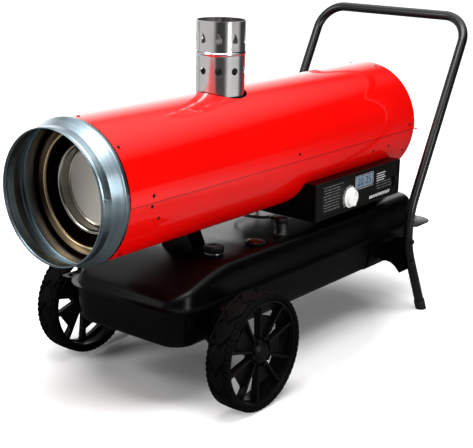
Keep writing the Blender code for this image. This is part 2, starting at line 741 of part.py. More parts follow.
def spacers(inner, lengths, outer_at, angles):
    """Radial plates, from radius inner to outer_at(angle), at each length along the drum."""
    plates = []
    for start in lengths:
        for angle in angles:
            plate = block((inner, -SPACER_SHEET / 2, start),
                          (outer_at(angle), SPACER_SHEET / 2, start + SPACER_LENGTH))
            plates.append(moved(plate, about_z(-angle)))
    return joined(*plates)


def make_exchanger():
    """The annular flue-gas drum with its welded spacers and flue stub."""
    near, far, turn = DRUM_BORE_RADIUS, DRUM_RADIUS, DRUM_ROUNDING
    outline = (arc((near + turn, turn), turn, math.pi, 1.5 * math.pi, 1)
               + arc((far - turn, turn), turn, 1.5 * math.pi, 2 * math.pi, 1)
               + [(far, DRUM_LENGTH), (near, DRUM_LENGTH)])
    drum = body("exchanger_drum", turned(outline, INNER_STEPS), TINTED_STEEL,
                on_axis(DRUM_SETBACK), ALONG_Y)
    low, high = near + DRUM_SHEET, far - DRUM_SHEET
    inside = turned([(low, turn), (high, turn), (high, DRUM_LENGTH - DRUM_SHEET),
                     (low, DRUM_LENGTH - DRUM_SHEET)], INNER_STEPS)
    feet = spacers(far - SINK, (SPACER_INSET, DRUM_LENGTH - SPACER_INSET - SPACER_LENGTH),
                   lambda angle: (SLEEVE_RADIUS if math.sin(angle) < 0 else
                                  UPPER_BORE * math.cos(CASING_HALF_STEP) - CLEAR),
                   [math.radians(a) for a in SPACER_ANGLES])
    stub_outer = FLUE_RADIUS - FLUE_SHEET - CLEAR
    stub_inner = stub_outer - STUB_SHEET
    stub = cylinder(stub_outer, AXIS_HEIGHT + far - STUB_SINK, AXIS_HEIGHT + STUB_HEIGHT, FLUE_STEPS)
    bore = cylinder(stub_inner, AXIS_HEIGHT + low + CLEAR * 3, AXIS_HEIGHT + STUB_HEIGHT + OVERRUN,
                    FLUE_STEPS)
    combine(drum, "UNION", tool("join_drum_spacers", feet, on_axis(DRUM_SETBACK), ALONG_Y),
            tool("join_flue_stub", stub, (0.0, FLUE_Y, 0.0)))
    crossing = cylinder(CROSSOVER_RADIUS + CLEAR, AXIS_HEIGHT + CHAMBER_RADIUS + OVERRUN,
                        AXIS_HEIGHT + (near + far) / 2, 16)
    combine(drum, "DIFFERENCE",
            tool("cut_drum_hollow", inside, on_axis(DRUM_SETBACK), ALONG_Y),
            tool("cut_drum_crossing", crossing, (0.0, CASING_FRONT + CROSSOVER_SETBACK, 0.0)),
            tool("cut_flue_bore", bore, (0.0, FLUE_Y, 0.0)))


def make_chamber():
    """The combustion chamber: a drum with a rolled front ring and a recessed, closed front disc."""
    roll = CHAMBER_RIM / 3
    shoulder = CHAMBER_RADIUS - CHAMBER_RIM
    line = [(0.0, CHAMBER_RECESS), (shoulder, CHAMBER_RECESS), (shoulder, roll),
            (shoulder + roll, 0.0), (CHAMBER_RADIUS - roll, 0.0), (CHAMBER_RADIUS, roll),
            (CHAMBER_RADIUS, CHAMBER_LENGTH), (BLAST_RADIUS + CLEAR * 4, CHAMBER_LENGTH)]
    chamber = body("combustion_chamber", turned(sheet(line, CHAMBER_SHEET), INNER_STEPS),
                   CHAMBER_STEEL, on_axis(CHAMBER_SETBACK), ALONG_Y)
    reach = DRUM_BORE_RADIUS * math.cos(math.pi / INNER_STEPS) - CLEAR
    feet = spacers(CHAMBER_RADIUS - SINK,
                   (SPACER_INSET, CHAMBER_LENGTH - SPACER_INSET - SPACER_LENGTH),
                   lambda angle: reach, [math.radians(a) for a in SPACER_ANGLES])
    crossing = cylinder(CROSSOVER_RADIUS + CLEAR, AXIS_HEIGHT + CHAMBER_RADIUS - CROSSOVER_RADIUS,
                        AXIS_HEIGHT + CHAMBER_RADIUS + OVERRUN, 16)
    combine(chamber, "UNION", tool("join_chamber_spacers", feet, on_axis(CHAMBER_SETBACK), ALONG_Y))
    combine(chamber, "DIFFERENCE", tool("cut_chamber_crossing", crossing,
                                        (0.0, CASING_FRONT + CROSSOVER_SETBACK, 0.0)))
    dip = CHAMBER_RADIUS - math.sqrt(CHAMBER_RADIUS ** 2 - CROSSOVER_RADIUS ** 2)
    duct = tube(CROSSOVER_RADIUS, CROSSOVER_RADIUS - CROSSOVER_SHEET,
                AXIS_HEIGHT + CHAMBER_RADIUS - dip - CROSSOVER_PROUD,
                AXIS_HEIGHT + DRUM_BORE_RADIUS + CROSSOVER_PROUD, 16)
    body("crossover_duct", duct, CHAMBER_STEEL, (0.0, CASING_FRONT + CROSSOVER_SETBACK, 0.0))


def make_flue():
    """Flue pipe with a bead, a ring of round holes and a ring of flame-shaped holes."""
    foot, bead = AXIS_HEIGHT + FLUE_FOOT, FLUE_TOP - FLUE_BEAD_DROP
    line = [(FLUE_RADIUS, foot), (FLUE_RADIUS, bead - FLUE_BEAD), (FLUE_RADIUS + FLUE_BEAD, bead),
            (FLUE_RADIUS, bead + FLUE_BEAD), (FLUE_RADIUS, FLUE_TOP)]
    pipe_body = body("flue_pipe", turned(sheet(line, FLUE_SHEET), FLUE_STEPS), STAINLESS,
                     (0.0, FLUE_Y, 0.0))

    def ring_of(outline, height):
        cuts = []
        for i in range(HOLE_COUNT):
            cut = prism(outline, FLUE_RADIUS - OVERRUN, FLUE_RADIUS + OVERRUN, across_x)
            turn = about_z(HOLE_TURN + 2 * math.pi * i / HOLE_COUNT)
            cuts.append(moved(cut, Matrix.Translation((0.0, 0.0, height)) @ turn))
        return joined(*cuts)

    circle = arc((0.0, 0.0), ROUND_HOLE_RADIUS, 0.0, 2 * math.pi, 8)[:-1]
    flame = [(u * FLAME_HOLE_WIDTH, v * FLAME_HOLE_HEIGHT) for u, v in FLAME_SHARES]
    combine(pipe_body, "DIFFERENCE",
            tool("cut_round_holes", ring_of(circle, FLUE_TOP - ROUND_HOLE_DROP),
                 (0.0, FLUE_Y, 0.0)),
            tool("cut_flame_holes", ring_of(flame, FLUE_TOP - FLAME_HOLE_DROP),
                 (0.0, FLUE_Y, 0.0)))


def make_burner():
    """Blast tube, flame diffuser, nozzle, electrodes, rear plate and photocell."""
    bore = BLAST_RADIUS - BLAST_SHEET
    blast = body("blast_tube", tube(BLAST_RADIUS, bore, 0.0, BLAST_LENGTH, BURNER_STEPS), STAINLESS,
                 on_axis(BLAST_SETBACK), ALONG_Y)
    slot_end = BLAST_LENGTH - AIR_SLOT_INSET
    outline = rounded_rectangle((-AIR_SLOT_WIDTH / 2, slot_end - AIR_SLOT_LENGTH),
                                (AIR_SLOT_WIDTH / 2, slot_end), AIR_SLOT_WIDTH / 3, 1)
    slots = joined(*[moved(prism(outline, bore - OVERRUN, BLAST_RADIUS + OVERRUN, across_x),
                           about_z(2 * math.pi * i / AIR_SLOT_COUNT))
                     for i in range(AIR_SLOT_COUNT)])
    combine(blast, "DIFFERENCE", tool("cut_air_slots", slots, on_axis(BLAST_SETBACK), ALONG_Y))

    sectors = [2 * math.pi * i / BURNER_STEPS for i in range(BURNER_STEPS)]
    pitch = BURNER_STEPS // AIR_SLOT_COUNT
    edge = bore - CLEAR
    radii = [DIFFUSER_BORE] + [DIFFUSER_BORE + share * (edge - DIFFUSER_BORE)
                               for share in DIFFUSER_SLOT_SHARES] + [edge]
    body("flame_diffuser", polar_plate(radii, sectors, lambda ring, s: ring != 1 or s % pitch,
                                       DIFFUSER_SHEET), CHAMBER_STEEL,
         on_axis(BLAST_SETBACK + DIFFUSER_SETBACK), ALONG_Y)

    plate_at = BLAST_SETBACK + BLAST_LENGTH + CLEAR
    radii = [HOLDER_RADIUS + CLEAR] + [share * BLAST_RADIUS for share in BURNER_PLATE_SHARES]
    plate = body("burner_plate", polar_plate(radii, sectors,
                                             lambda ring, s: ring != 1 or s % pitch
                                             or s in PHOTOCELL_SECTORS, BURNER_PLATE),
                 CAST_ALUMINIUM, on_axis(plate_at), ALONG_Y)
    cell_hole = cylinder(PHOTOCELL_RADIUS + CLEAR, -OVERRUN, BURNER_PLATE + OVERRUN, 8)
    cell_place = (0.0, CASING_FRONT + plate_at, AXIS_HEIGHT - PHOTOCELL_OFFSET)
    combine(plate, "DIFFERENCE", tool("cut_photocell_hole", cell_hole, cell_place, ALONG_Y))
    flange = BURNER_PLATE + CLEAR
    cell = turned([(0.0, -PHOTOCELL_LENGTH / 3), (PHOTOCELL_RADIUS, -PHOTOCELL_LENGTH / 3),
                   (PHOTOCELL_RADIUS, flange), (PHOTOCELL_RADIUS * 1.3, flange),
                   (PHOTOCELL_RADIUS * 1.3, flange + PHOTOCELL_LENGTH / 6),
                   (PHOTOCELL_RADIUS, flange + PHOTOCELL_LENGTH / 6),
                   (PHOTOCELL_RADIUS, flange + PHOTOCELL_LENGTH / 2),
                   (0.0, flange + PHOTOCELL_LENGTH / 2)], 8)
    body("flame_photocell", cell, BLACK_PLASTIC, cell_place, ALONG_Y)

    tip = DIFFUSER_SETBACK + DIFFUSER_SHEET + NOZZLE_SETBACK
    tail = BLAST_LENGTH + CLEAR + BURNER_PLATE + HOLDER_PROUD
    nozzle = turned([(0.0, tip), (NOZZLE_RADIUS / 2, tip),
                     (NOZZLE_RADIUS, tip + NOZZLE_LENGTH / 3), (NOZZLE_RADIUS, tip + NOZZLE_LENGTH),
                     (HOLDER_RADIUS, tip + NOZZLE_LENGTH), (HOLDER_RADIUS, tail), (0.0, tail)],
                    BURNER_STEPS)
    body("fuel_nozzle", nozzle, BRASS, on_axis(BLAST_SETBACK), ALONG_Y)

    # The clamp sits round the holder; insulators and wires stand above it, that is at -Y here
    clamp_start = tip + NOZZLE_LENGTH + CLAMP_SIZE
    clamp = body("ignition_electrodes",
                 tube(HOLDER_RADIUS + INSULATOR_RADIUS * 1.6, HOLDER_RADIUS + CLEAR,
                      clamp_start, clamp_start + CLAMP_SIZE, BURNER_STEPS), CERAMIC,
                 on_axis(BLAST_SETBACK), ALONG_Y)
    rise = -HOLDER_RADIUS - INSULATOR_RADIUS
    parts = []
    for sign in (-1, 1):
        across = sign * ELECTRODE_SPREAD
        parts.append(moved(cylinder(INSULATOR_RADIUS, clamp_start - INSULATOR_LENGTH / 3,
                                    clamp_start + INSULATOR_LENGTH * 2 / 3, 8),
                           Matrix.Translation((across, rise, 0.0))))
    wires = [rod([Vector((sign * ELECTRODE_SPREAD, rise, clamp_start - INSULATOR_LENGTH / 3 + SINK)),
                  Vector((sign * ELECTRODE_SPREAD, rise, tip + NOZZLE_LENGTH / 3)),
                  Vector((sign * ELECTRODE_RADIUS * 2, rise / 3, tip - NOZZLE_SETBACK / 2))],
                 ELECTRODE_RADIUS, 4) for sign in (-1, 1)]
    combine(clamp, "UNION",
            tool("join_insulators", joined(*parts), on_axis(BLAST_SETBACK), ALONG_Y),
            tool("join_electrode_wires", joined(*wires), on_axis(BLAST_SETBACK), ALONG_Y))

    start = BLAST_SETBACK + tail + CLEAR
    stop = PUMP_SETBACK - CLEAR
    lead = (stop - start) / 3
    rise = AXIS_HEIGHT + PUMP_RADIUS / 2
    line = smooth_path([(0.0, CASING_FRONT + start, AXIS_HEIGHT),
                        (0.0, CASING_FRONT + start + lead, AXIS_HEIGHT),
                        (0.0, CASING_FRONT + stop - lead, rise),
                        (0.0, CASING_FRONT + stop, rise)], 4)
    body("nozzle_line", rod(line, NOZZLE_LINE_RADIUS, 6), BRASS)


def make_fan():
    """Pump, ribbed motor on its spider, shaft, impeller and rear guard."""
    bore = (SHAFT_RADIUS + CLEAR) / math.cos(math.pi / 16)
    pump_end = PUMP_LENGTH + MOTOR_GAP - CLEAR
    chamfer = PUMP_RADIUS / 6
    spigot = SHAFT_RADIUS * 2
    outline = [(0.0, 0.0), (PUMP_RADIUS - chamfer, 0.0), (PUMP_RADIUS, chamfer),
               (PUMP_RADIUS, PUMP_LENGTH - chamfer), (PUMP_RADIUS - chamfer, PUMP_LENGTH),
               (spigot, PUMP_LENGTH), (spigot, pump_end), (bore, pump_end),
               (bore, pump_end - SHAFT_ENTRY), (0.0, pump_end - SHAFT_ENTRY)]
    pump = body("fuel_pump", turned(outline, 16), CAST_ALUMINIUM, on_axis(PUMP_SETBACK), ALONG_Y)
    ports = [rod([Vector((side, PUMP_RADIUS / 2, PUMP_LENGTH / 2)),
                  Vector((side, PUMP_RADIUS + PORT_LENGTH, PUMP_LENGTH / 2))], PORT_RADIUS, 8)
             for side in (-PORT_SPREAD, PORT_SPREAD)]
    combine(pump, "UNION", tool("join_pump_ports", joined(*ports), on_axis(PUMP_SETBACK), ALONG_Y))

    motor_at = PUMP_SETBACK + PUMP_LENGTH + MOTOR_GAP
    steps = 2 * MOTOR_RIB_COUNT

    def ring(radius, place, groove=0.0):
        return [((radius - groove * (i % 2)) * math.cos(2 * math.pi * i / steps),
                 (radius - groove * (i % 2)) * math.sin(2 * math.pi * i / steps), place)
                for i in range(steps)]

    bell, shell = MOTOR_RADIUS * 0.8, MOTOR_RADIUS - 1.2 * MOTOR_RIB
    rings = [ring(bore, 0.0), ring(bell, 0.0), ring(shell, MOTOR_BELL / 2),
             ring(shell, MOTOR_BELL), ring(MOTOR_RADIUS, MOTOR_BELL, MOTOR_RIB),
             ring(MOTOR_RADIUS, MOTOR_LENGTH - MOTOR_BELL, MOTOR_RIB),
             ring(shell, MOTOR_LENGTH - MOTOR_BELL), ring(bell, MOTOR_LENGTH),
             ring(bore, MOTOR_LENGTH)]
    body("fan_motor", loft(rings, loop=True), CAST_ALUMINIUM, on_axis(motor_at), ALONG_Y)

    sectors = [2 * math.pi * i / steps for i in range(steps)]
    gap = steps // SPIDER_ARMS
    radii = [MOTOR_RADIUS + CLEAR, MOTOR_RADIUS + SPIDER_RING, SLEEVE_RADIUS - SPIDER_RING,
             SLEEVE_RADIUS]
    body("motor_spider", polar_plate(radii, sectors,
                                     lambda ring, s: ring != 1 or (s + gap // 2) % gap == 0,
                                     SPIDER_SHEET), ZINC_STEEL,
         on_axis(motor_at + (MOTOR_LENGTH - SPIDER_SHEET) / 2), ALONG_Y)

    fan_at = motor_at + MOTOR_LENGTH + FAN_GAP
    shaft_start = PUMP_SETBACK + pump_end - SHAFT_ENTRY + CLEAR
    shaft = cylinder(SHAFT_RADIUS, 0.0, fan_at + FAN_HUB_LENGTH + SHAFT_RADIUS - shaft_start, 12)
    body("motor_shaft", shaft, ZINC_STEEL, on_axis(shaft_start), ALONG_Y)
    fan = body("fan_impeller", tube(FAN_HUB_RADIUS, bore, 0.0, FAN_HUB_LENGTH, 16),
               BLACK_PLASTIC, on_axis(fan_at), ALONG_Y)
    blades = []
    root = FAN_HUB_RADIUS * 0.8
    for i in range(BLADE_COUNT):
        sections = []
        for share in BLADE_STATION_SHARES:
            reach = root + share * (FAN_RADIUS - root)
            chord = BLADE_ROOT_CHORD + share * (BLADE_TIP_CHORD - BLADE_ROOT_CHORD)
            pitch = BLADE_ROOT_PITCH + share * (BLADE_TIP_PITCH - BLADE_ROOT_PITCH)
            section = []
            for along, side in BLADE_SECTION_SHARES:
                u, v = along * chord, side * BLADE_SHEET + BLADE_CAMBER * (1 - 4 * along ** 2)
                section.append((math.sqrt(max(reach ** 2 - (u * math.cos(pitch)) ** 2, 0.0)),
                                u * math.cos(pitch) - v * math.sin(pitch),
                                FAN_HUB_LENGTH / 2 + u * math.sin(pitch) + v * math.cos(pitch)))
            sections.append(section)
        blades.append(moved(loft(sections), about_z(2 * math.pi * i / BLADE_COUNT)))
    for i, blade in enumerate(blades):
        combine(fan, "UNION", tool("join_blade_%d" % (i + 1), blade, on_axis(fan_at), ALONG_Y))

    rim = SLEEVE_RADIUS
    radii, wire_at = [0.0, GUARD_HUB], GUARD_HUB
    pitch = (rim - GUARD_WIRE - GUARD_HUB) / GUARD_RINGS
    for i in range(GUARD_RINGS):
        wire_at = GUARD_HUB + (i + 1) * pitch
        radii += [wire_at, wire_at + GUARD_WIRE]
    half, step = GUARD_WIRE / rim, 2 * math.pi / GUARD_SPOKES
    sectors = [i * step + turn for i in range(GUARD_SPOKES) for turn in (-half, half, step / 2)]
    guard = polar_plate(radii, sectors, lambda ring, s: ring % 2 == 0 or s % 3 == 0, GUARD_WIRE,
                        lambda radius: GUARD_DISH * (1 - (radius / rim) ** 2))
    body("fan_guard", guard, BLACK_PAINT, on_axis(CASING_LENGTH - GUARD_INSET), ALONG_Y)

    top = math.sqrt((UPPER_BORE * math.cos(CASING_HALF_STEP)) ** 2 - STAT_RADIUS ** 2) - CLEAR
    body("overheat_thermostat", turned([(0.0, top - STAT_LENGTH),
                                        (STAT_RADIUS * 0.7, top - STAT_LENGTH),
                                        (STAT_RADIUS * 0.7, top - STAT_LENGTH / 2),
                                        (STAT_RADIUS, top - STAT_LENGTH / 2), (STAT_RADIUS, top),
                                        (0.0, top)], 8), BLACK_PLASTIC, on_axis(STAT_SETBACK))


def saddle_arc(radius, start, stop, steps):
    """Arc of a seat under the casing, drawn so that its facets stay clear of the casing."""
    half = abs(stop - start) / steps / 2
    return arc((0.0, AXIS_HEIGHT), radius / math.cos(half), start, stop, steps)


def make_saddle(name, sizes):
    """A folded channel between tank and casing: foot plate and two upright cheeks."""
    seat = LOWER_RADIUS + CLEAR
    lean = math.asin(sizes["crown"] / seat)
    foot = TANK_TOP + CLEAR
    outline = ([(-sizes["foot"], foot), (sizes["foot"], foot)]
               + saddle_arc(seat, -math.pi / 2 + lean, -math.pi / 2 - lean, 6))
    start = CASING_FRONT + sizes["setback"]
    stop = start + sizes["length"]
    saddle = body(name, prism(outline, start, stop, across_y), BLACK_PAINT)
    inside = block((-sizes["foot"] - OVERRUN, start + SADDLE_SHEET, foot + SADDLE_SHEET),
                   (sizes["foot"] + OVERRUN, stop - SADDLE_SHEET, AXIS_HEIGHT))
    combine(saddle, "DIFFERENCE", tool("cut_" + name, inside))


def make_control_box():
    """Housing hung under the casing, with panel, knob, display, switch and what they work."""
    front = CASING_FRONT + BOX_SETBACK
    rear = front + BOX_LENGTH
    back = BOX_FACE - PANEL_DEPTH                    # rear face of the panel
    top = BOX_BOTTOM + BOX_HEIGHT

    def section(edge, inset):
        radius = LOWER_RADIUS + CLEAR + inset
        start = math.asin((top - inset - AXIS_HEIGHT) / radius)
        far = radius * math.cos(BOX_FAR_ANGLE) + inset
        stop = -math.pi / 2 + math.asin(far / radius)
        return ([(far, BOX_BOTTOM + inset), (edge, BOX_BOTTOM + inset), (edge, top - inset)]
                + saddle_arc(radius, start, stop, 8))

    box = body("control_box", prism(section(back - CLEAR, 0.0), front, rear, across_y), BLACK_PAINT)
    hollow = prism(section(back + OVERRUN, BOX_SHEET), front + BOX_SHEET, rear - BOX_SHEET, across_y)
    gland_place = (GLAND_PLACE[0], rear, BOX_BOTTOM + GLAND_PLACE[1])
    gland_hole = cylinder(GLAND_RADIUS + CLEAR, -BOX_SHEET - OVERRUN, OVERRUN, 12)
    combine(box, "DIFFERENCE", tool("cut_box_hollow", hollow),
            tool("cut_gland_hole", gland_hole, gland_place, ALONG_Y))
    nut = GLAND_LENGTH / 2
    gland = turned([(GLAND_BORE, -GLAND_LENGTH / 3), (GLAND_RADIUS, -GLAND_LENGTH / 3),
                    (GLAND_RADIUS, CLEAR), (GLAND_NUT_RADIUS, CLEAR), (GLAND_NUT_RADIUS, nut),
                    (GLAND_RADIUS * 0.7, GLAND_LENGTH), (GLAND_BORE, GLAND_LENGTH)], 12)
    body("cable_gland", gland, BLACK_PLASTIC, gland_place, ALONG_Y)

    panel = body("control_panel", prism(rounded_rectangle((front, BOX_BOTTOM), (rear, top),
                                                          PANEL_CORNER, 2), back, BOX_FACE, across_x),
                 BLACK_PLASTIC)
    field = BOX_FACE - PANEL_RECESS
    knob_y, knob_z = front + KNOB_PLACE_SHARE * BOX_LENGTH, BOX_BOTTOM + KNOB_HEIGHT
    window_y, window_z = front + WINDOW_PLACE_SHARE * BOX_LENGTH, BOX_BOTTOM + WINDOW_HEIGHT
    switch_y, switch_z = front + SWITCH_PLACE_SHARE * BOX_LENGTH, BOX_BOTTOM + SWITCH_HEIGHT
    proud = BOX_FACE + OVERRUN

    def opening(y, z, width, rise, gap):
        return block((back - OVERRUN, y - width / 2 - gap, z - rise / 2 - gap),
                     (proud, y + width / 2 + gap, z + rise / 2 + gap))

    combine(panel, "DIFFERENCE",
            tool("cut_label_field", block((field, front + FIELD_LEFT, BOX_BOTTOM + FIELD_BOTTOM),
                                          (proud, rear - FIELD_RIGHT, top - FIELD_TOP))),
            tool("cut_panel_openings",
                 joined(opening(window_y, window_z, WINDOW_WIDTH, WINDOW_RISE, CLEAR),
                        opening(switch_y, switch_z, SWITCH_WIDTH, SWITCH_RISE, CLEAR))),
            tool("cut_stem_hole", cylinder(KNOB_STEM + CLEAR, back - OVERRUN, proud, 10),
                 (0.0, knob_y, knob_z), ALONG_X))
    lens = block((back, window_y - WINDOW_WIDTH / 2, window_z - WINDOW_RISE / 2),
                 (field, window_y + WINDOW_WIDTH / 2, window_z + WINDOW_RISE / 2))
    body("display_window", lens, CLEAR_PLASTIC)

    board_face = back - BOARD_GAP
    board_y = switch_y - SWITCH_WIDTH / 2 - BOARD_SWITCH_GAP - BOARD_LENGTH
    board_z = BOX_BOTTOM + (BOX_HEIGHT - BOARD_RISE) / 2
    board = body("control_board", block((board_face - BOARD_SHEET, board_y, board_z),
                                        (board_face, board_y + BOARD_LENGTH, board_z + BOARD_RISE)),
                 BOARD_GREEN)
    lcd = block((board_face - BOARD_SHEET / 2, window_y - WINDOW_WIDTH / 2,
                 window_z - WINDOW_RISE / 2),
                (board_face + LCD_DEPTH, window_y + WINDOW_WIDTH / 2, window_z + WINDOW_RISE / 2))
    combine(board, "UNION", tool("join_display", lcd))
    inset = BOARD_POST_RADIUS * 2
    posts = [moved(cylinder(BOARD_POST_RADIUS, board_face + CLEAR, back + SINK, 6),
                   Matrix.Translation((0.0, y, z)) @ Matrix.Rotation(math.pi / 2, 4, "Y"))
             for y in (board_y + inset, board_y + BOARD_LENGTH - inset)
             for z in (board_z + inset, board_z + BOARD_RISE - inset)]
    combine(panel, "UNION", tool("join_board_posts", joined(*posts)))

    # The knob turns on its stem in the thermostat behind the panel
    base = field + KNOB_LIFT
    stem_end = back - STAT_BODY_LENGTH - base
    dome = KNOB_RADIUS * 0.84
    knob = body("thermostat_knob",
                turned([(0.0, stem_end), (KNOB_STEM, stem_end), (KNOB_STEM, 0.0), (KNOB_RADIUS, 0.0),
                        (KNOB_RADIUS, KNOB_SKIRT * 0.7), (dome, KNOB_SKIRT),
                        (dome * 0.94, KNOB_DEPTH * 0.7), (0.0, KNOB_DEPTH * 0.7)], 24),
                WHITE_PLASTIC, (base, knob_y, knob_z), ALONG_X)
    grip = block((-dome * 0.9, -KNOB_GRIP / 2, KNOB_SKIRT / 2), (dome * 0.9, KNOB_GRIP / 2, KNOB_DEPTH))
    combine(knob, "UNION", tool("join_knob_grip", grip, (base, knob_y, knob_z), ALONG_X))
    body("room_thermostat", tube(STAT_BODY_RADIUS, KNOB_STEM + CLEAR, back - CLEAR - STAT_BODY_LENGTH,
                                 back - CLEAR, 12), BLACK_PLASTIC, (0.0, knob_y, knob_z), ALONG_X)

    # Switch: an open housing and a rocker that stays inside one circle as it tilts
    lip = field + SWITCH_PROUD
    housing = body("switch_housing",
                   block((lip - SWITCH_DEPTH, switch_y - SWITCH_WIDTH / 2, switch_z - SWITCH_RISE / 2),
                         (lip, switch_y + SWITCH_WIDTH / 2, switch_z + SWITCH_RISE / 2)),
                   BLACK_PLASTIC)
    well = block((lip - SWITCH_DEPTH + SWITCH_WALL, switch_y - SWITCH_WIDTH / 2 + SWITCH_WALL,
                  switch_z - SWITCH_RISE / 2 + SWITCH_WALL),
                 (lip + OVERRUN, switch_y + SWITCH_WIDTH / 2 - SWITCH_WALL,
                  switch_z + SWITCH_RISE / 2 - SWITCH_WALL))
    combine(housing, "DIFFERENCE", tool("cut_switch_well", well))
    swing = SWITCH_RISE / 2 - SWITCH_WALL - CLEAR
    spread = math.radians(ROCKER_SPREAD)
    tip = (swing * math.cos(spread), swing * math.sin(spread))
    outline = [(tip[0], tip[1]), (ROCKER_DIP, 0.0), (tip[0], -tip[1]), (0.0, -swing),
               (-ROCKER_DIP * 1.5, 0.0), (0.0, swing)]
    half = SWITCH_WIDTH / 2 - SWITCH_WALL - CLEAR
    body("power_switch", prism(outline[::-1], -half, half, across_y), RED_PLASTIC,
         (lip + ROCKER_PROUD - tip[0], switch_y, switch_z), (0.0, ROCKER_TILT, 0.0))

    floor = BOX_BOTTOM + BOX_SHEET + CLEAR
    wide, long, high = TRANSFORMER_SIZE
    side, along = TRANSFORMER_SIDE, TRANSFORMER_PLACE_SHARE * BOX_LENGTH
    body("ignition_transformer", block((side - wide / 2, front + along, floor),
                                       (side + wide / 2, front + along + long, floor + high)),
         BLACK_PLASTIC)
    side, along = CAPACITOR_PLACE
    body("run_capacitor", cylinder(CAPACITOR_RADIUS, 0.0, CAPACITOR_LENGTH, 16), CERAMIC,
         (side, front + along, floor + CAPACITOR_RADIUS), ALONG_Y)


def plan_rows(rows, height_at):
    """Rings of a tank pressing, each drawn in from the flange edge by its inset."""
    quarter = math.pi / 2
    rings = []
    for inset, share in rows:
        half = TANK_WIDTH / 2 - inset
        radius = TANK_CORNER - inset
        front, rear = TANK_FRONT + TANK_CORNER, TANK_REAR - TANK_CORNER
        ramp_end = TANK_FRONT + RAMP_END
        side = [(half, front + s * (ramp_end - front)) for s in RAMP_STATION_SHARES]
        side += [(half, ramp_end + s * (rear - ramp_end)) for s in SIDE_STATION_SHARES]
        right = (arc((half - radius, front), radius, -quarter, 0.0, CORNER_STEPS) + side
                 + arc((half - radius, rear), radius, 0.0, quarter, CORNER_STEPS))
        outline = right + [(-x, y) for x, y in right[::-1]]
        rings.append([(x, y, height_at(y, share)) for x, y in outline])
    return rings


def pressing(name, rows, height_at, drop):
    """A pressed shell: rings from the flange inwards, then a flat web, made double by the sheet."""
    rings = plan_rows(rows, height_at)
    inner = plan_rows([(inset + (TANK_SHEET if 0 < i else 0.0), share)
                       for i, (inset, share) in enumerate(rows)],
                      lambda y, share: height_at(y, share) + drop)
    mesh = bmesh.new()

    def skin(rings):
        rows = [[mesh.verts.new(point) for point in ring] for ring in rings]
        for near, far in zip(rows, rows[1:]):
            for i in range(len(near)):
                j = (i + 1) % len(near)
                mesh.faces.new((near[i], near[j], far[j], far[i]))
        last = rows[-1]
        for i in range(len(last) // 2 - 1):
            mesh.faces.new((last[i], last[i + 1], last[-i - 2], last[-i - 1]))
        return rows[0]

    outer_edge, inner_edge = skin(rings), skin(inner)
    for i in range(len(outer_edge)):
        j = (i + 1) % len(outer_edge)
        mesh.faces.new((outer_edge[i], outer_edge[j], inner_edge[j], inner_edge[i]))
    return body(name, mesh, BLACK_PAINT)


def corner_ear(side):
    """Outline of a rounded ear that fills a rear corner of the flange and stands out beyond it."""
    half = TANK_WIDTH / 2
    reach, rear = half + CORNER_EAR_REACH, TANK_REAR - CORNER_EAR_SHY
    front = TANK_REAR - CORNER_EAR_LENGTH
    turn, small, root = CORNER_EAR_ROUNDING, CORNER_EAR_REACH / 3, CORNER_EAR_ROOT
    outline = arc((reach - small, front + small), small, -math.pi / 2, 0.0, 2)
    outline += arc((reach - turn, rear - turn), turn, 0.0, math.pi / 2, 4)
    outline += [(half - TANK_CORNER + root, rear)]
    outline += arc((half - TANK_CORNER, TANK_REAR - TANK_CORNER), TANK_CORNER - root, math.pi / 2,
                   0.0, CORNER_STEPS)
    outline += [(half - root, front)]
    return [(side * x, y) for x, y in outline]


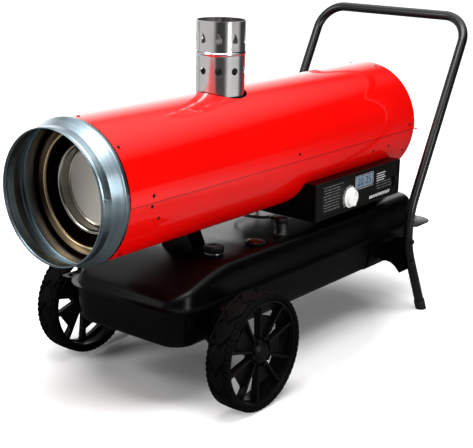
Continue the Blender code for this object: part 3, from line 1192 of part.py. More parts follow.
def make_tank():
    """Two pressings flanged together, and the filler neck, strainer, cap and drain plug."""
    base = FLANGE_HEIGHT + CLEAR / 2 + TANK_SHEET

    def upper_height(y, share):
        along = min(max((y - TANK_FRONT - RAMP_START) / (RAMP_END - RAMP_START), 0.0), 1.0)
        climb = 1 - (1 - along) ** RAMP_EASE
        crest = FLANGE_HEIGHT + NOSE_RISE + climb * (TANK_TOP - FLANGE_HEIGHT - NOSE_RISE)
        return base + share * (crest - base)

    upper = pressing("fuel_tank_upper", UPPER_ROWS, upper_height, -TANK_SHEET)
    lower_top = FLANGE_HEIGHT - CLEAR / 2 - TANK_SHEET
    lower = pressing("fuel_tank_lower", LOWER_ROWS,
                     lambda y, share: lower_top + share * (TANK_BOTTOM - lower_top), TANK_SHEET)

    ears = joined(*[prism(corner_ear(side), lower_top + CORNER_EAR_SHY,
                          lower_top + TANK_SHEET - CORNER_EAR_SHY, across_z) for side in (1, -1)])
    combine(lower, "UNION", tool("join_corner_ears", ears))

    def port(name, place, radius, floor=TANK_TOP):
        hole = cylinder(radius, floor - TANK_SHEET - OVERRUN, floor + OVERRUN, 16)
        return tool("cut_" + name, hole, place)

    neck_place = (NECK_SIDE, GAUGE_Y - NECK_SPACING, 0.0)
    gauge_place = (GAUGE_SIDE, GAUGE_Y, 0.0)
    barb = tube(PORT_RADIUS, PORT_RADIUS / 2, TANK_TOP - SINK, TANK_TOP + BARB_RISE, 8)
    barb_place = (BARB_PLACE[0], CASING_FRONT + BARB_PLACE[1], 0.0)
    combine(upper, "UNION", tool("join_return_barb", barb, barb_place))
    combine(upper, "DIFFERENCE", port("neck_port", neck_place, NECK_RADIUS + CLEAR),
            port("gauge_port", gauge_place, GAUGE_PORT),
            port("barb_bore", barb_place, PORT_RADIUS / 2))

    top = TANK_TOP + NECK_RISE
    bore = NECK_RADIUS - NECK_WALL
    seat = TANK_TOP + CLEAR
    body("filler_neck", turned([(bore, TANK_TOP - NECK_DROP), (NECK_RADIUS, TANK_TOP - NECK_DROP),
                                (NECK_RADIUS, seat), (NECK_RADIUS + NECK_FLANGE, seat),
                                (NECK_RADIUS + NECK_FLANGE, seat + NECK_FLANGE_SHEET),
                                (NECK_RADIUS, seat + NECK_FLANGE_SHEET), (NECK_RADIUS, top),
                                (bore, top)], 16), ZINC_STEEL, neck_place)
    rim = top + CLEAR
    floor = rim - STRAINER_LENGTH
    outer = bore - CLEAR
    strainer = body("filler_strainer",
                    turned([(0.0, floor), (outer, floor), (outer, rim), (NECK_RADIUS, rim),
                            (NECK_RADIUS, rim + STRAINER_WALL),
                            (outer - STRAINER_WALL, rim + STRAINER_WALL),
                            (outer - STRAINER_WALL, floor + STRAINER_WALL),
                            (0.0, floor + STRAINER_WALL)], 16), BRASS, neck_place)
    width = outer / 3
    slot = rounded_rectangle((-width / 2, floor + STRAINER_LENGTH / 5),
                             (width / 2, floor + STRAINER_LENGTH * 0.7), width / 3, 1)
    slots = joined(*[moved(prism(slot, outer - OVERRUN, outer + OVERRUN, across_x),
                           about_z(2 * math.pi * i / STRAINER_SLOTS))
                     for i in range(STRAINER_SLOTS)])
    combine(strainer, "DIFFERENCE", tool("cut_strainer_slots", slots, neck_place))

    steps = 2 * CAP_RIB_COUNT

    def cap_ring(radius, height, rib=0.0):
        return [((radius - rib * (i % 2)) * math.cos(2 * math.pi * i / steps),
                 (radius - rib * (i % 2)) * math.sin(2 * math.pi * i / steps), height)
                for i in range(steps)]

    foot = seat + NECK_FLANGE_SHEET + CLEAR
    under = rim + STRAINER_WALL + CLEAR
    crown = under + CAP_WALL
    hollow = (NECK_RADIUS + CLEAR) / math.cos(math.pi / steps)
    body("fuel_cap", loft([cap_ring(hollow, under), cap_ring(hollow, foot),
                           cap_ring(CAP_RADIUS, foot, CAP_RIB),
                           cap_ring(CAP_RADIUS, crown - CAP_WALL / 2, CAP_RIB),
                           cap_ring(CAP_RADIUS * 0.86, crown)]), BLACK_PLASTIC, neck_place)

    drain_place = (DRAIN_PLACE[0], TANK_FRONT + DRAIN_PLACE[1], 0.0)
    combine(lower, "DIFFERENCE", tool("cut_drain_port", cylinder(
        DRAIN_RADIUS + CLEAR, TANK_BOTTOM - OVERRUN, TANK_BOTTOM + TANK_SHEET + OVERRUN, 12),
        drain_place))
    under = TANK_BOTTOM - CLEAR
    body("drain_plug", turned([(0.0, under - DRAIN_HEAD_HEIGHT), (DRAIN_HEAD, under - DRAIN_HEAD_HEIGHT),
                               (DRAIN_HEAD, under), (DRAIN_RADIUS, under),
                               (DRAIN_RADIUS, TANK_BOTTOM + TANK_SHEET + DRAIN_HEAD_HEIGHT),
                               (0.0, TANK_BOTTOM + TANK_SHEET + DRAIN_HEAD_HEIGHT)], 12),
         ZINC_STEEL, drain_place)
    make_gauge(gauge_place)


def make_gauge(place):
    """Dial with pointer and lens on the tank, and the float arm that turns the pointer."""
    seat = TANK_TOP + CLEAR
    top = TANK_TOP + GAUGE_RISE
    well = GAUGE_RADIUS - GAUGE_RIM
    dial = top - GAUGE_RISE / 2
    pivot = TANK_TOP - GAUGE_PIVOT_DROP
    pin = POINTER_PIN
    gauge = body("fuel_gauge_body",
                 turned([(0.0, pivot - ARM_HUB), (GAUGE_STEM, pivot - ARM_HUB),
                         (GAUGE_STEM, TANK_TOP - TANK_SHEET), (GAUGE_PORT - CLEAR, TANK_TOP - TANK_SHEET),
                         (GAUGE_PORT - CLEAR, seat), (GAUGE_RADIUS, seat),
                         (GAUGE_RADIUS, top), (well, top), (well, dial), (pin, dial),
                         (pin, dial + POINTER_SHEET * 2), (0.0, dial + POINTER_SHEET * 2)], 16),
                 BLACK_PLASTIC, place)
    reach = GAUGE_STEM + ARM_WIDTH + CLEAR * 3
    stub = rod([Vector((GAUGE_STEM / 2, 0.0, pivot)), Vector((reach, 0.0, pivot))], GAUGE_PIN, 6)
    combine(gauge, "UNION", tool("join_gauge_pin", stub, place))
    body("fuel_gauge_lens", turned([(0.0, top - LENS_SHEET), (well - CLEAR, top - LENS_SHEET),
                               (well - CLEAR, top), (well * 0.8, top + LENS_SHEET), (0.0, top + LENS_SHEET)],
                              16), CLEAR_PLASTIC, place)
    hub = POINTER_LENGTH / 5
    at, empty = (place[0], place[1], dial + CLEAR), (0.0, 0.0, NEEDLE_EMPTY)
    pointer = body("fuel_gauge_pointer", tube(hub, pin + CLEAR, 0.0, POINTER_SHEET, 8),
                   RED_PLASTIC, at, empty)
    needle = prism([(-hub * 0.7, hub * 0.6), (hub * 0.7, hub * 0.6), (0.0, POINTER_LENGTH)],
                   0.0, POINTER_SHEET, across_z)
    combine(pointer, "UNION", tool("join_needle", needle, at, empty))

    # The float arm is drawn level, its pin along X, and hangs down as in an empty tank
    start = GAUGE_STEM + CLEAR * 2
    across = start + ARM_WIDTH / 2
    at, empty = (place[0], place[1], pivot), (-FLOAT_EMPTY, 0.0, 0.0)
    sideways = Matrix.Rotation(math.pi / 2, 4, "Y")
    ring = tube(ARM_HUB, GAUGE_PIN + CLEAR, start, start + ARM_WIDTH, 8)
    arm = body("fuel_gauge_float", moved(ring, sideways), ZINC_STEEL, at, empty)
    wire = rod([Vector((across, ARM_HUB * 0.75, 0.0)), Vector((across, ARM_REACH, 0.0))],
               ARM_RADIUS, 6)
    bob = moved(cylinder(FLOAT_RADIUS, across - FLOAT_LENGTH / 2, across + FLOAT_LENGTH / 2, 12),
                Matrix.Translation((0.0, ARM_REACH, 0.0)) @ sideways)
    combine(arm, "UNION", tool("join_arm_wire", wire, at, empty), tool("join_float", bob, at, empty))


def make_fuel_line():
    """Filter on the tank, and the hoses that rise through the casing to the pump."""
    place = (FILTER_SIDE, FILTER_Y, 0.0)
    foot = TANK_TOP + CLEAR
    bowl_top = foot + FILTER_BASE + FILTER_BOWL_HEIGHT
    body("fuel_filter_bowl", turned([(0.0, foot), (FILTER_RADIUS, foot), (FILTER_RADIUS, foot + FILTER_BASE),
                                (FILTER_RADIUS * 0.82, foot + FILTER_BASE),
                                (FILTER_RADIUS * 0.82, bowl_top), (0.0, bowl_top)], 16),
         CLEAR_PLASTIC, place)
    head_foot = bowl_top + CLEAR
    head_top = head_foot + FILTER_HEAD_HEIGHT
    head = body("fuel_filter_head", turned([(0.0, head_foot), (FILTER_RADIUS, head_foot),
                                       (FILTER_RADIUS, head_top - FILTER_HEAD_HEIGHT / 4),
                                       (FILTER_RADIUS * 0.8, head_top), (0.0, head_top)], 16),
                BLACK_PLASTIC, place)
    level = (head_foot + head_top) / 2
    outlet = FILTER_RADIUS + PORT_LENGTH
    spout = rod([Vector((-FILTER_RADIUS / 2, 0.0, level)), Vector((-outlet, 0.0, level))],
                PORT_RADIUS * 0.8, 8)
    combine(head, "UNION", tool("join_filter_spout", spout, place))

    port_y = CASING_FRONT + PUMP_SETBACK + PUMP_LENGTH / 2
    port_z = AXIS_HEIGHT - PUMP_RADIUS - PORT_LENGTH - CLEAR
    back = CASING_FRONT
    start = (place[0] - outlet - CLEAR, place[1], level)

    def run_in(x, shares):
        """Straight last stretch of a hose, up to a port of the pump."""
        return [(x, port_y, port_z - PORT_LENGTH * share) for share in shares]

    def routed(knots):
        return [(x, back + y, z) for x, y, z in knots]

    ends = (1.5, 0.75, 0.0)
    suction = ([(start[0] - PORT_LENGTH * share, start[1], level) for share in (0.0, 0.5, 1.0)]
               + routed(SUCTION_ROUTE) + run_in(-PORT_SPREAD, ends))
    body("suction_hose", rod(smooth_path(suction, HOSE_STEPS), HOSE_RADIUS, 6), RUBBER)
    barb_x, barb_y = BARB_PLACE
    barb_top = TANK_TOP + BARB_RISE + CLEAR
    home = ([(barb_x, back + barb_y, barb_top + PORT_LENGTH * share) for share in (0.0, 0.5, 1.0)]
            + routed(RETURN_ROUTE) + run_in(PORT_SPREAD, ends))
    body("return_hose", rod(smooth_path(home, HOSE_STEPS), HOSE_RADIUS, 6), RUBBER)


def tank_underside():
    """Section of the lower pressing, from the right ear of a bracket to the left one."""
    top = FLANGE_HEIGHT - CLEAR / 2 - TANK_SHEET
    half = TANK_WIDTH / 2
    right = [(half - LOWER_ROWS[1][0] + EAR_REACH, top)]
    right += [(half - inset, top + share * (TANK_BOTTOM - top)) for inset, share in LOWER_ROWS[1:]]
    return right + [(-x, z) for x, z in right[::-1]]


def strap(name, setback, length):
    """Folded strap under the tank, with rounded ears below its flange."""
    line = offset_line(tank_underside(), CLEAR)
    start = CASING_FRONT + setback
    piece = body(name, prism(sheet(line, BRACKET_SHEET), start - OVERRUN, start + length + OVERRUN,
                             across_y), BLACK_PAINT)
    reach = line[0][0]
    plan = prism(rounded_rectangle((-reach, start), (reach, start + length), EAR_ROUNDING, 3),
                 FLOOR, TANK_TOP, across_z)
    return combine(piece, "INTERSECT", tool("trim_" + name, plan))


def make_carriers():
    """Axle bracket and axle, rear bracket, handle frame with its foot caps, and the saddles."""
    make_saddle("front_saddle", FRONT_SADDLE)
    make_saddle("rear_saddle", REAR_SADDLE)

    bracket = strap("axle_bracket", AXLE_SETBACK - AXLE_BRACKET_LENGTH / 2, AXLE_BRACKET_LENGTH)
    under = TANK_BOTTOM - CLEAR - BRACKET_SHEET / 2
    outline = ([(AXLE_Y + LUG_RADIUS * 1.5, under), (AXLE_Y - LUG_RADIUS * 1.5, under)]
               + arc((AXLE_Y, WHEEL_RADIUS), LUG_RADIUS, -math.pi, 0.0, 6))
    lug_x = TANK_WIDTH / 2 - LUG_INSET
    lugs = joined(*[prism(outline, side * lug_x - LUG_SHEET / 2, side * lug_x + LUG_SHEET / 2, across_x)
                    for side in (-1, 1)])
    hole = cylinder(AXLE_RADIUS + CLEAR, -TANK_WIDTH / 2, TANK_WIDTH / 2, 16)
    edge, ear_top = TANK_WIDTH / 2 - LOWER_ROWS[1][0] + EAR_REACH, FLANGE_HEIGHT - TANK_SHEET - CLEAR * 2
    ear_end = AXLE_Y - AXLE_BRACKET_LENGTH / 2
    ear = prism(rounded_rectangle((-edge + SINK, ear_end - FAR_EAR_REACH),
                                  (-TANK_WIDTH / 2 + SINK, ear_end + EAR_ROUNDING * 2),
                                  EAR_ROUNDING / 2, 3),
                ear_top - BRACKET_SHEET + CLEAR, ear_top - CLEAR, across_z)
    combine(bracket, "UNION", tool("join_axle_lugs", lugs), tool("join_front_ear", ear))
    combine(bracket, "DIFFERENCE", tool("cut_axle_holes", hole, (0.0, AXLE_Y, WHEEL_RADIUS), ALONG_X))
    inner = WHEEL_X - HUB_IN - CLEAR * 2
    collar = [(AXLE_RADIUS, AXLE_END), (AXLE_RADIUS, inner), (AXLE_COLLAR, inner),
              (AXLE_COLLAR, inner - AXLE_RADIUS), (AXLE_RADIUS, inner - AXLE_RADIUS)]
    axle = [(0.0, AXLE_END)] + collar + [(r, -z) for r, z in collar[::-1]] + [(0.0, -AXLE_END)]
    body("wheel_axle", turned(axle, 16), ZINC_STEEL, (0.0, AXLE_Y, WHEEL_RADIUS), ALONG_X)

    rear = strap("rear_bracket", REAR_BRACKET_SETBACK, REAR_BRACKET_LENGTH)
    stop = CASING_FRONT + REAR_BRACKET_SETBACK + REAR_BRACKET_LENGTH
    wall = offset_line(tank_underside(), CLEAR + BRACKET_SHEET / 2)[1:4]
    plate_out = TUBE_X - TUBE_RADIUS - CLEAR
    edge = plate_out - BRACKET_SHEET / 2
    top = wall[0][1] - WING_TOP_DROP
    lower = [(wall[-1][0] + share * (edge - wall[-1][0]),
              wall[-1][1] + share * (WING_DROP - wall[-1][1]) + 4 * WING_SAG * share * (1 - share))
             for share in WING_STATION_SHARES] + [(edge, WING_DROP)]
    outline = [(wall[0][0], top)] + wall[1:] + lower + [(edge, top)]
    wings, plates = [], []
    for side in (1, -1):
        wings.append(prism([(side * x, z) for x, z in outline], stop - BRACKET_SHEET, stop, across_y))
        out = sorted((side * plate_out, side * (plate_out - BRACKET_SHEET)))
        plates.append(block((out[0], stop - BRACKET_SHEET / 2, WING_DROP - SINK),
                            (out[1], stop + WING_LENGTH, top + SINK)))
    combine(rear, "UNION", tool("join_wings", joined(*wings)), tool("join_tube_plates", joined(*plates)))

    foot = Vector((TUBE_X, CASING_FRONT + FOOT_SETBACK, FLOOR))
    knee = Vector((TUBE_X, CASING_FRONT + KNEE_SETBACK, KNEE_HEIGHT))
    grip = Vector((TUBE_X, CASING_FRONT + HANDLE_REACH, GRIP_HEIGHT))
    leg = (knee - foot).normalized()
    start = foot + leg * (FOOT_CAP_SOLE + CLEAR)
    mirror = Vector((-1.0, 1.0, 1.0))
    corners = [start, knee, grip, grip * mirror, knee * mirror, start * mirror]
    path = bent_path(corners, (KNEE_BEND, GRIP_BEND, GRIP_BEND, KNEE_BEND), BEND_STEPS)
    body("handle_frame", pipe(path, TUBE_RADIUS, TUBE_RADIUS - TUBE_WALL, TUBE_SIDES), BLACK_TUBE)
    for name, way in (("foot_cap_right", 1.0), ("foot_cap_left", -1.0)):
        inner = (TUBE_RADIUS + CLEAR) / math.cos(math.pi / TUBE_SIDES)
        line = [foot + leg * FOOT_CAP_SOLE, foot + leg * FOOT_CAP_LENGTH]
        cup, skin = path_rings(line, inner, TUBE_SIDES), path_rings(line, inner + FOOT_CAP_WALL,
                                                                    TUBE_SIDES)
        sole = [point - leg * (point.z / leg.z) for point in skin[0]]
        rings = [[Vector((point.x * way, point.y, point.z)) for point in ring]
                 for ring in (cup[0], cup[1], skin[1], sole)]
        body(name, loft(rings), RUBBER)


def tyre_rings():
    """Rings of the tyre from its inner bead to its outer one, with staggered tread lugs."""
    seat = (RIM_SEAT_RADIUS + CLEAR) / math.cos(math.pi / TREAD_STEPS)
    wall = [(WHEEL_RADIUS - depth, place) for place, depth in zip(WALL_WIDTH_SHARES, WALL_DEPTHS)]
    rows = [(seat, -TYRE_BEAD_SHARE, None)] + [(radius, -place, None) for radius, place in wall]
    rows += [(WHEEL_RADIUS, place, phase) for place, phase in zip(TREAD_PLACE_SHARES, TREAD_PHASES)]
    rows += [(radius, place, None) for radius, place in wall[::-1]] + [(seat, TYRE_BEAD_SHARE, None)]
    rings = []
    for radius, place, phase in rows:
        ring = []
        for i in range(TREAD_STEPS):
            groove = phase is not None and (i + phase) % TREAD_PITCH == 0
            reach = radius - TREAD_DEPTH * groove
            angle = 2 * math.pi * i / TREAD_STEPS
            ring.append((reach * math.cos(angle), reach * math.sin(angle), place * TYRE_WIDTH))
        rings.append(ring)
    return rings


def make_wheel(side, centre, turn):
    """Solid rubber tyre on a moulded rim of five split spokes, with its hub cap."""
    body("tyre_" + side, loft(tyre_rings(), loop=True), RUBBER, centre, turn)
    bore, half = RIM_SEAT_RADIUS - RIM_WALL, RIM_WIDTH / 2
    low, high = WEB_OFFSET - WEB_SHEET / 2, WEB_OFFSET + WEB_SHEET / 2
    axle = (AXLE_RADIUS + CLEAR) / math.cos(math.pi / RIM_STEPS)
    rim = body("rim_" + side,
               turned([(axle, -HUB_IN), (BOSS_RADIUS, -HUB_IN), (BOSS_RADIUS, low), (bore, low),
                       (bore, -half), (RIM_SEAT_RADIUS, -half), (RIM_SEAT_RADIUS, half),
                       (bore, half), (bore, high), (HUB_RADIUS, high), (HUB_RADIUS, HUB_OUT),
                       (HUB_RADIUS - HUB_WALL, HUB_OUT), (HUB_RADIUS - HUB_WALL, HUB_FLOOR),
                       (axle, HUB_FLOOR)], RIM_STEPS), BLACK_PLASTIC, centre, turn)
    window = ([(WINDOW_ROOT * math.cos(a), WINDOW_ROOT * math.sin(a))
               for a in (WINDOW_ROOT_ANGLE, -WINDOW_ROOT_ANGLE)]
              + arc((0.0, 0.0), WINDOW_TIP, -WINDOW_TIP_ANGLE, WINDOW_TIP_ANGLE, 2))
    near, far = WEB_SLOT_HALVES
    slot = [(WEB_SLOT[0], -near), (WEB_SLOT[1], -far), (WEB_SLOT[1], far), (WEB_SLOT[0], near)]
    cuts, ribs = [], []
    for i in range(SPOKE_COUNT):
        angle = HUB_TURN + 2 * math.pi * i / SPOKE_COUNT
        cuts.append(moved(prism(slot, low - OVERRUN, high + OVERRUN, across_z), about_z(angle)))
        cuts.append(moved(prism(window, low - OVERRUN, high + OVERRUN, across_z),
                          about_z(angle + math.pi / SPOKE_COUNT)))
        for way in (-1, 1):
            half_rib = RIB_SHEET / 2
            ends = [[(reach, way * spread - half_rib, WEB_OFFSET),
                     (reach, way * spread + half_rib, WEB_OFFSET),
                     (reach, way * spread + half_rib, rise), (reach, way * spread - half_rib, rise)]
                    for reach, spread, rise in RIB_ENDS]
            ribs.append(moved(loft(ends), about_z(angle)))
    for i in range(NOTCH_COUNT):
        notch = block((BOSS_RADIUS, -NOTCH_WIDTH / 2, HUB_OUT - NOTCH_DEPTH),
                      (HUB_RADIUS + OVERRUN, NOTCH_WIDTH / 2, HUB_OUT + OVERRUN))
        cuts.append(moved(notch, about_z(2 * math.pi * i / NOTCH_COUNT)))
    combine(rim, "DIFFERENCE", tool("cut_windows_" + side, joined(*cuts), centre, turn))
    for i, rib in enumerate(ribs):
        combine(rim, "UNION", tool("join_rib_%s_%d" % (side, i + 1), rib, centre, turn))
    seat = HUB_FLOOR + CLEAR
    body("hub_cap_" + side, turned([(0.0, seat), (HUB_CAP_RADIUS, seat),
                                    (HUB_CAP_RADIUS, seat + HUB_CAP_HEIGHT / 2),
                                    (HUB_CAP_RADIUS * 0.6, seat + HUB_CAP_HEIGHT),
                                    (0.0, seat + HUB_CAP_HEIGHT)], 12), BLACK_PLASTIC, centre, turn)


make_casing()
make_outlet()
make_exchanger()
make_chamber()
make_flue()
make_burner()
make_fan()
make_control_box()
make_tank()
make_fuel_line()
make_carriers()
make_wheel("right", (WHEEL_X, AXLE_Y, WHEEL_RADIUS), ALONG_X)
make_wheel("left", (-WHEEL_X, AXLE_Y, WHEEL_RADIUS), ALONG_MINUS_X)
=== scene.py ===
import math

import bmesh
import bpy
import numpy as np
from mathutils import Matrix, Vector


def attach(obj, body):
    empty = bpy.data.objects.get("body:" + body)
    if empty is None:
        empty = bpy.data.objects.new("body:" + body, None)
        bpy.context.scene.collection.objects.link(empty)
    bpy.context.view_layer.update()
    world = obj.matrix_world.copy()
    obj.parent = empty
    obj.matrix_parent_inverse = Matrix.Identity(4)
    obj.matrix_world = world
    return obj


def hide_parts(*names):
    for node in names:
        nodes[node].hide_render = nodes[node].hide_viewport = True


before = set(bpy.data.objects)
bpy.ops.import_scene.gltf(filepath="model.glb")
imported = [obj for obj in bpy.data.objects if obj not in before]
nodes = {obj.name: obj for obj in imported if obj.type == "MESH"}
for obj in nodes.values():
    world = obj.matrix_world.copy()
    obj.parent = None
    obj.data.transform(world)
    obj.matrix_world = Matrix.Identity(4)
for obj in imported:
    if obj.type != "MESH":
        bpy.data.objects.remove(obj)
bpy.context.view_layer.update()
print("frame loaded:", len(nodes), "nodes")

# Sizes shared by several pieces, in metres
casing = {"front": -0.6256, "rear": 0.5554, "axisZ": 0.5288, "radius": 0.1655, "lower": 0.1638,
          "sheet": 0.0012, "seamDrop": 2.65, "lap": 6.0}
tank = {"front": -0.5031, "rear": 0.6114, "half": 0.196, "corner": 0.080, "sheet": 0.0015,
        "flange": 0.2476, "bottom": 0.153, "top": 0.322, "nose": 0.2736, "rampStart": 0.020,
        "rampEnd": 0.215, "ease": 1.4}
wheel = {"x": 0.27625, "y": -0.3331, "radius": 0.142, "width": 0.0645}
flueSpot = (0, -0.1316, 0)
gap = 0.0003


# Colour and node helpers

def srgb(code):
    # linear = c / 12.92 below 0.04045, ((c + 0.055) / 1.055) ^ 2.4 above
    parts = [int(code[i:i + 2], 16) / 255 for i in (1, 3, 5)]
    return [c / 12.92 if c <= 0.04045 else ((c + 0.055) / 1.055) ** 2.4 for c in parts] + [1.0]


def addNode(tree, kind, settings=None, **inputs):
    node = tree.nodes.new("ShaderNode" + kind)
    for key, value in (settings or {}).items():
        setattr(node, key, value)
    for key, value in inputs.items():
        socket = node.inputs[int(key[1:]) if key[1:].isdigit() else key.replace("_", " ")]
        if isinstance(value, bpy.types.NodeSocket):
            tree.links.new(value, socket)
        else:
            socket.default_value = value
    return node


def mixColour(tree, factor, first, second):
    node = addNode(tree, "Mix", {"data_type": "RGBA"}, i0=factor, i6=first, i7=second)
    return node.outputs[2]


def spread(tree, value, low, high, start=0.0, stop=1.0):
    node = addNode(tree, "MapRange", None, Value=value, From_Min=start, From_Max=stop,
                   To_Min=low, To_Max=high)
    return node.outputs[0]


def maths(tree, operation, first, second=0.0, third=0.0):
    node = addNode(tree, "Math", {"operation": operation}, i0=first, i1=second, i2=third)
    return node.outputs[0]


def vectorMath(tree, operation, first, second=(0, 0, 0)):
    node = addNode(tree, "VectorMath", {"operation": operation}, i0=first, i1=second)
    return node.outputs["Value" if operation in ("LENGTH", "DOT_PRODUCT") else "Vector"]


def noise(tree, scale, detail, stretch=(1, 1, 1)):
    place = addNode(tree, "TexCoord").outputs["Object"]
    stretched = addNode(tree, "Mapping", None, Vector=place, Scale=stretch).outputs[0]
    return addNode(tree, "TexNoise", None, Vector=stretched, Scale=scale, Detail=detail).outputs[0]


def newMaterial(name):
    material = bpy.data.materials.new(name)
    material.use_nodes = True
    tree = material.node_tree
    return material, tree, tree.nodes["Principled BSDF"]


def axisRadius(tree):
    # radius = sqrt(x^2 + (z - axis height)^2), about the casing axis
    axes = addNode(tree, "SeparateXYZ", None, Vector=addNode(tree, "TexCoord").outputs["Object"])
    up = maths(tree, "SUBTRACT", axes.outputs[2], casing["axisZ"])
    span = addNode(tree, "CombineXYZ", None, X=axes.outputs[0], Y=up)
    return vectorMath(tree, "LENGTH", span.outputs[0]), up


# Ranges of the noise that the cloudy colour and the fine grain use
cloudBand, grainBand = (0.35, 0.65), (0.3, 0.7)


def wear(tree, shader, colour, grain, rough, bump, metallic=1.0, depth=0.0004):
    # the grain runs the roughness between its two values and raises a faint relief
    tree.links.new(colour, shader.inputs["Base Color"])
    tree.links.new(spread(tree, grain, *rough, *grainBand), shader.inputs["Roughness"])
    relief = addNode(tree, "Bump", None, Strength=bump, Distance=depth, Height=grain)
    tree.links.new(relief.outputs[0], shader.inputs["Normal"])
    shader.inputs["Metallic"].default_value = metallic


def surface(name, dark, light, rough, metallic, patch, grain, bump, stretch=(1, 1, 1), coat=0.0,
            coatRough=0.05, specular=0.5):
    # cloudy colour between dark and light, fine grain in roughness and bump
    material, tree, shader = newMaterial(name)
    cloud = spread(tree, noise(tree, patch, 4.0), 0.0, 1.0, *cloudBand)
    shader.inputs["Base Color"].default_value = srgb(light)
    wear(tree, shader, mixColour(tree, cloud, srgb(dark), srgb(light)),
         noise(tree, grain, 2.0, stretch), rough, bump, metallic)
    shader.inputs["Coat Weight"].default_value = coat
    shader.inputs["Coat Roughness"].default_value = coatRough
    shader.inputs["Specular IOR Level"].default_value = specular
    return material


def galvanised(name, darkBloom, lightBloom, streakColour):
    # zinc skin drawn on the rollers: faint streaks round the axis, a cloudy bloom over them
    material, tree, shader = newMaterial(name)
    streak = noise(tree, 1.0, 4.0, (4, 260, 4))
    bloom = spread(tree, noise(tree, 16.0, 4.0), 0.0, 1.0, *cloudBand)
    tone = mixColour(tree, bloom, srgb(darkBloom), srgb(lightBloom))
    colour = mixColour(tree, spread(tree, streak, 0.0, 0.5, *cloudBand), tone, srgb(streakColour))
    wear(tree, shader, colour, streak, (0.26, 0.36), 0.03, depth=0.0003)
    return material


def heatTinted(name, inner, outer, stops):
    # temper colours run outwards from the casing axis: straw, brown, purple, blue-grey
    material, tree, shader = newMaterial(name)
    wander = maths(tree, "MULTIPLY_ADD", noise(tree, 11.0, 5.0), 0.014, axisRadius(tree)[0])
    ramp = addNode(tree, "ValToRGB", None, Fac=spread(tree, wander, 0.0, 1.0, inner, outer))
    band = ramp.color_ramp
    while len(band.elements) < len(stops):
        band.elements.new(0.5)
    for element, (place, code) in zip(band.elements, stops):
        element.position, element.color = place, srgb(code)
    wear(tree, shader, ramp.outputs[0], noise(tree, 30.0, 4.0), (0.18, 0.26), 0.05)
    return material


def dressed(*row, **extras):
    # a surface, with its tree, shader and colour socket for a second zone
    material = surface(*row, **extras)
    tree = material.node_tree
    shader = tree.nodes["Principled BSDF"]
    return material, tree, shader, shader.inputs["Base Color"].links[0].from_socket


def redCoat(name, radius, lapShadow=False):
    # gloss powder coat outside the radius; inside it the sheet is painted near-black as painted
    # shade of the unlit inside, and the lower shell gets a painted shadow line just under the lap
    material, tree, shader, colour = dressed(
        name, "#dd0200", "#e60400", (0.30, 0.38), 0, 3, 900, 0.02, coat=0.55, coatRough=0.03,
        specular=0.05)
    reach, up = axisRadius(tree)
    # painted shadow: the lower shell's red turns dark red within about 2 mm below the upper shell's
    # lap edge
    if lapShadow:
        drop = -math.sin(math.radians(casing["seamDrop"])) * casing["radius"] - 0.0009
        near = maths(tree, "ABSOLUTE", maths(tree, "SUBTRACT", up, drop))
        colour = mixColour(tree, spread(tree, near, 1.0, 0.0, 0.0006, 0.0024), colour,
                           srgb("#8a0a05"))
    # painted shade: inside the radius the sheet is coloured near-black, standing in for the unlit
    # inside of the casing
    outer = maths(tree, "GREATER_THAN", reach, radius)
    tree.links.new(mixColour(tree, outer, srgb("#1c0d0b"), colour), shader.inputs["Base Color"])
    return material


def chamberSteel(name, discRadius):
    # the front disc is dull and pale, the rolled ring and the wall round it are bright
    material, tree, shader, colour = dressed(
        name, "#8f8a82", "#aaa397", (0.10, 0.16), 1, 9, 14, 0)
    rough = shader.inputs["Roughness"].links[0].from_socket
    onDisc = spread(tree, axisRadius(tree)[0], 1.0, 0.0, discRadius - 0.001, discRadius)
    tree.links.new(mixColour(tree, onDisc, colour, srgb("#ddd7cd")), shader.inputs["Base Color"])
    tree.links.new(maths(tree, "MULTIPLY_ADD", onDisc, 0.4, rough), shader.inputs["Roughness"])
    tree.links.new(spread(tree, onDisc, 1.0, 0.1), shader.inputs["Metallic"])
    return material


def clearGlass(name, tint, rough):
    material, tree, shader = newMaterial(name)
    shader.inputs["Base Color"].default_value = srgb(tint)
    shader.inputs["Transmission Weight"].default_value = 1.0
    smear = noise(tree, 40.0, 3.0)
    tree.links.new(spread(tree, smear, rough, rough + 0.06, *grainBand), shader.inputs["Roughness"])
    return material


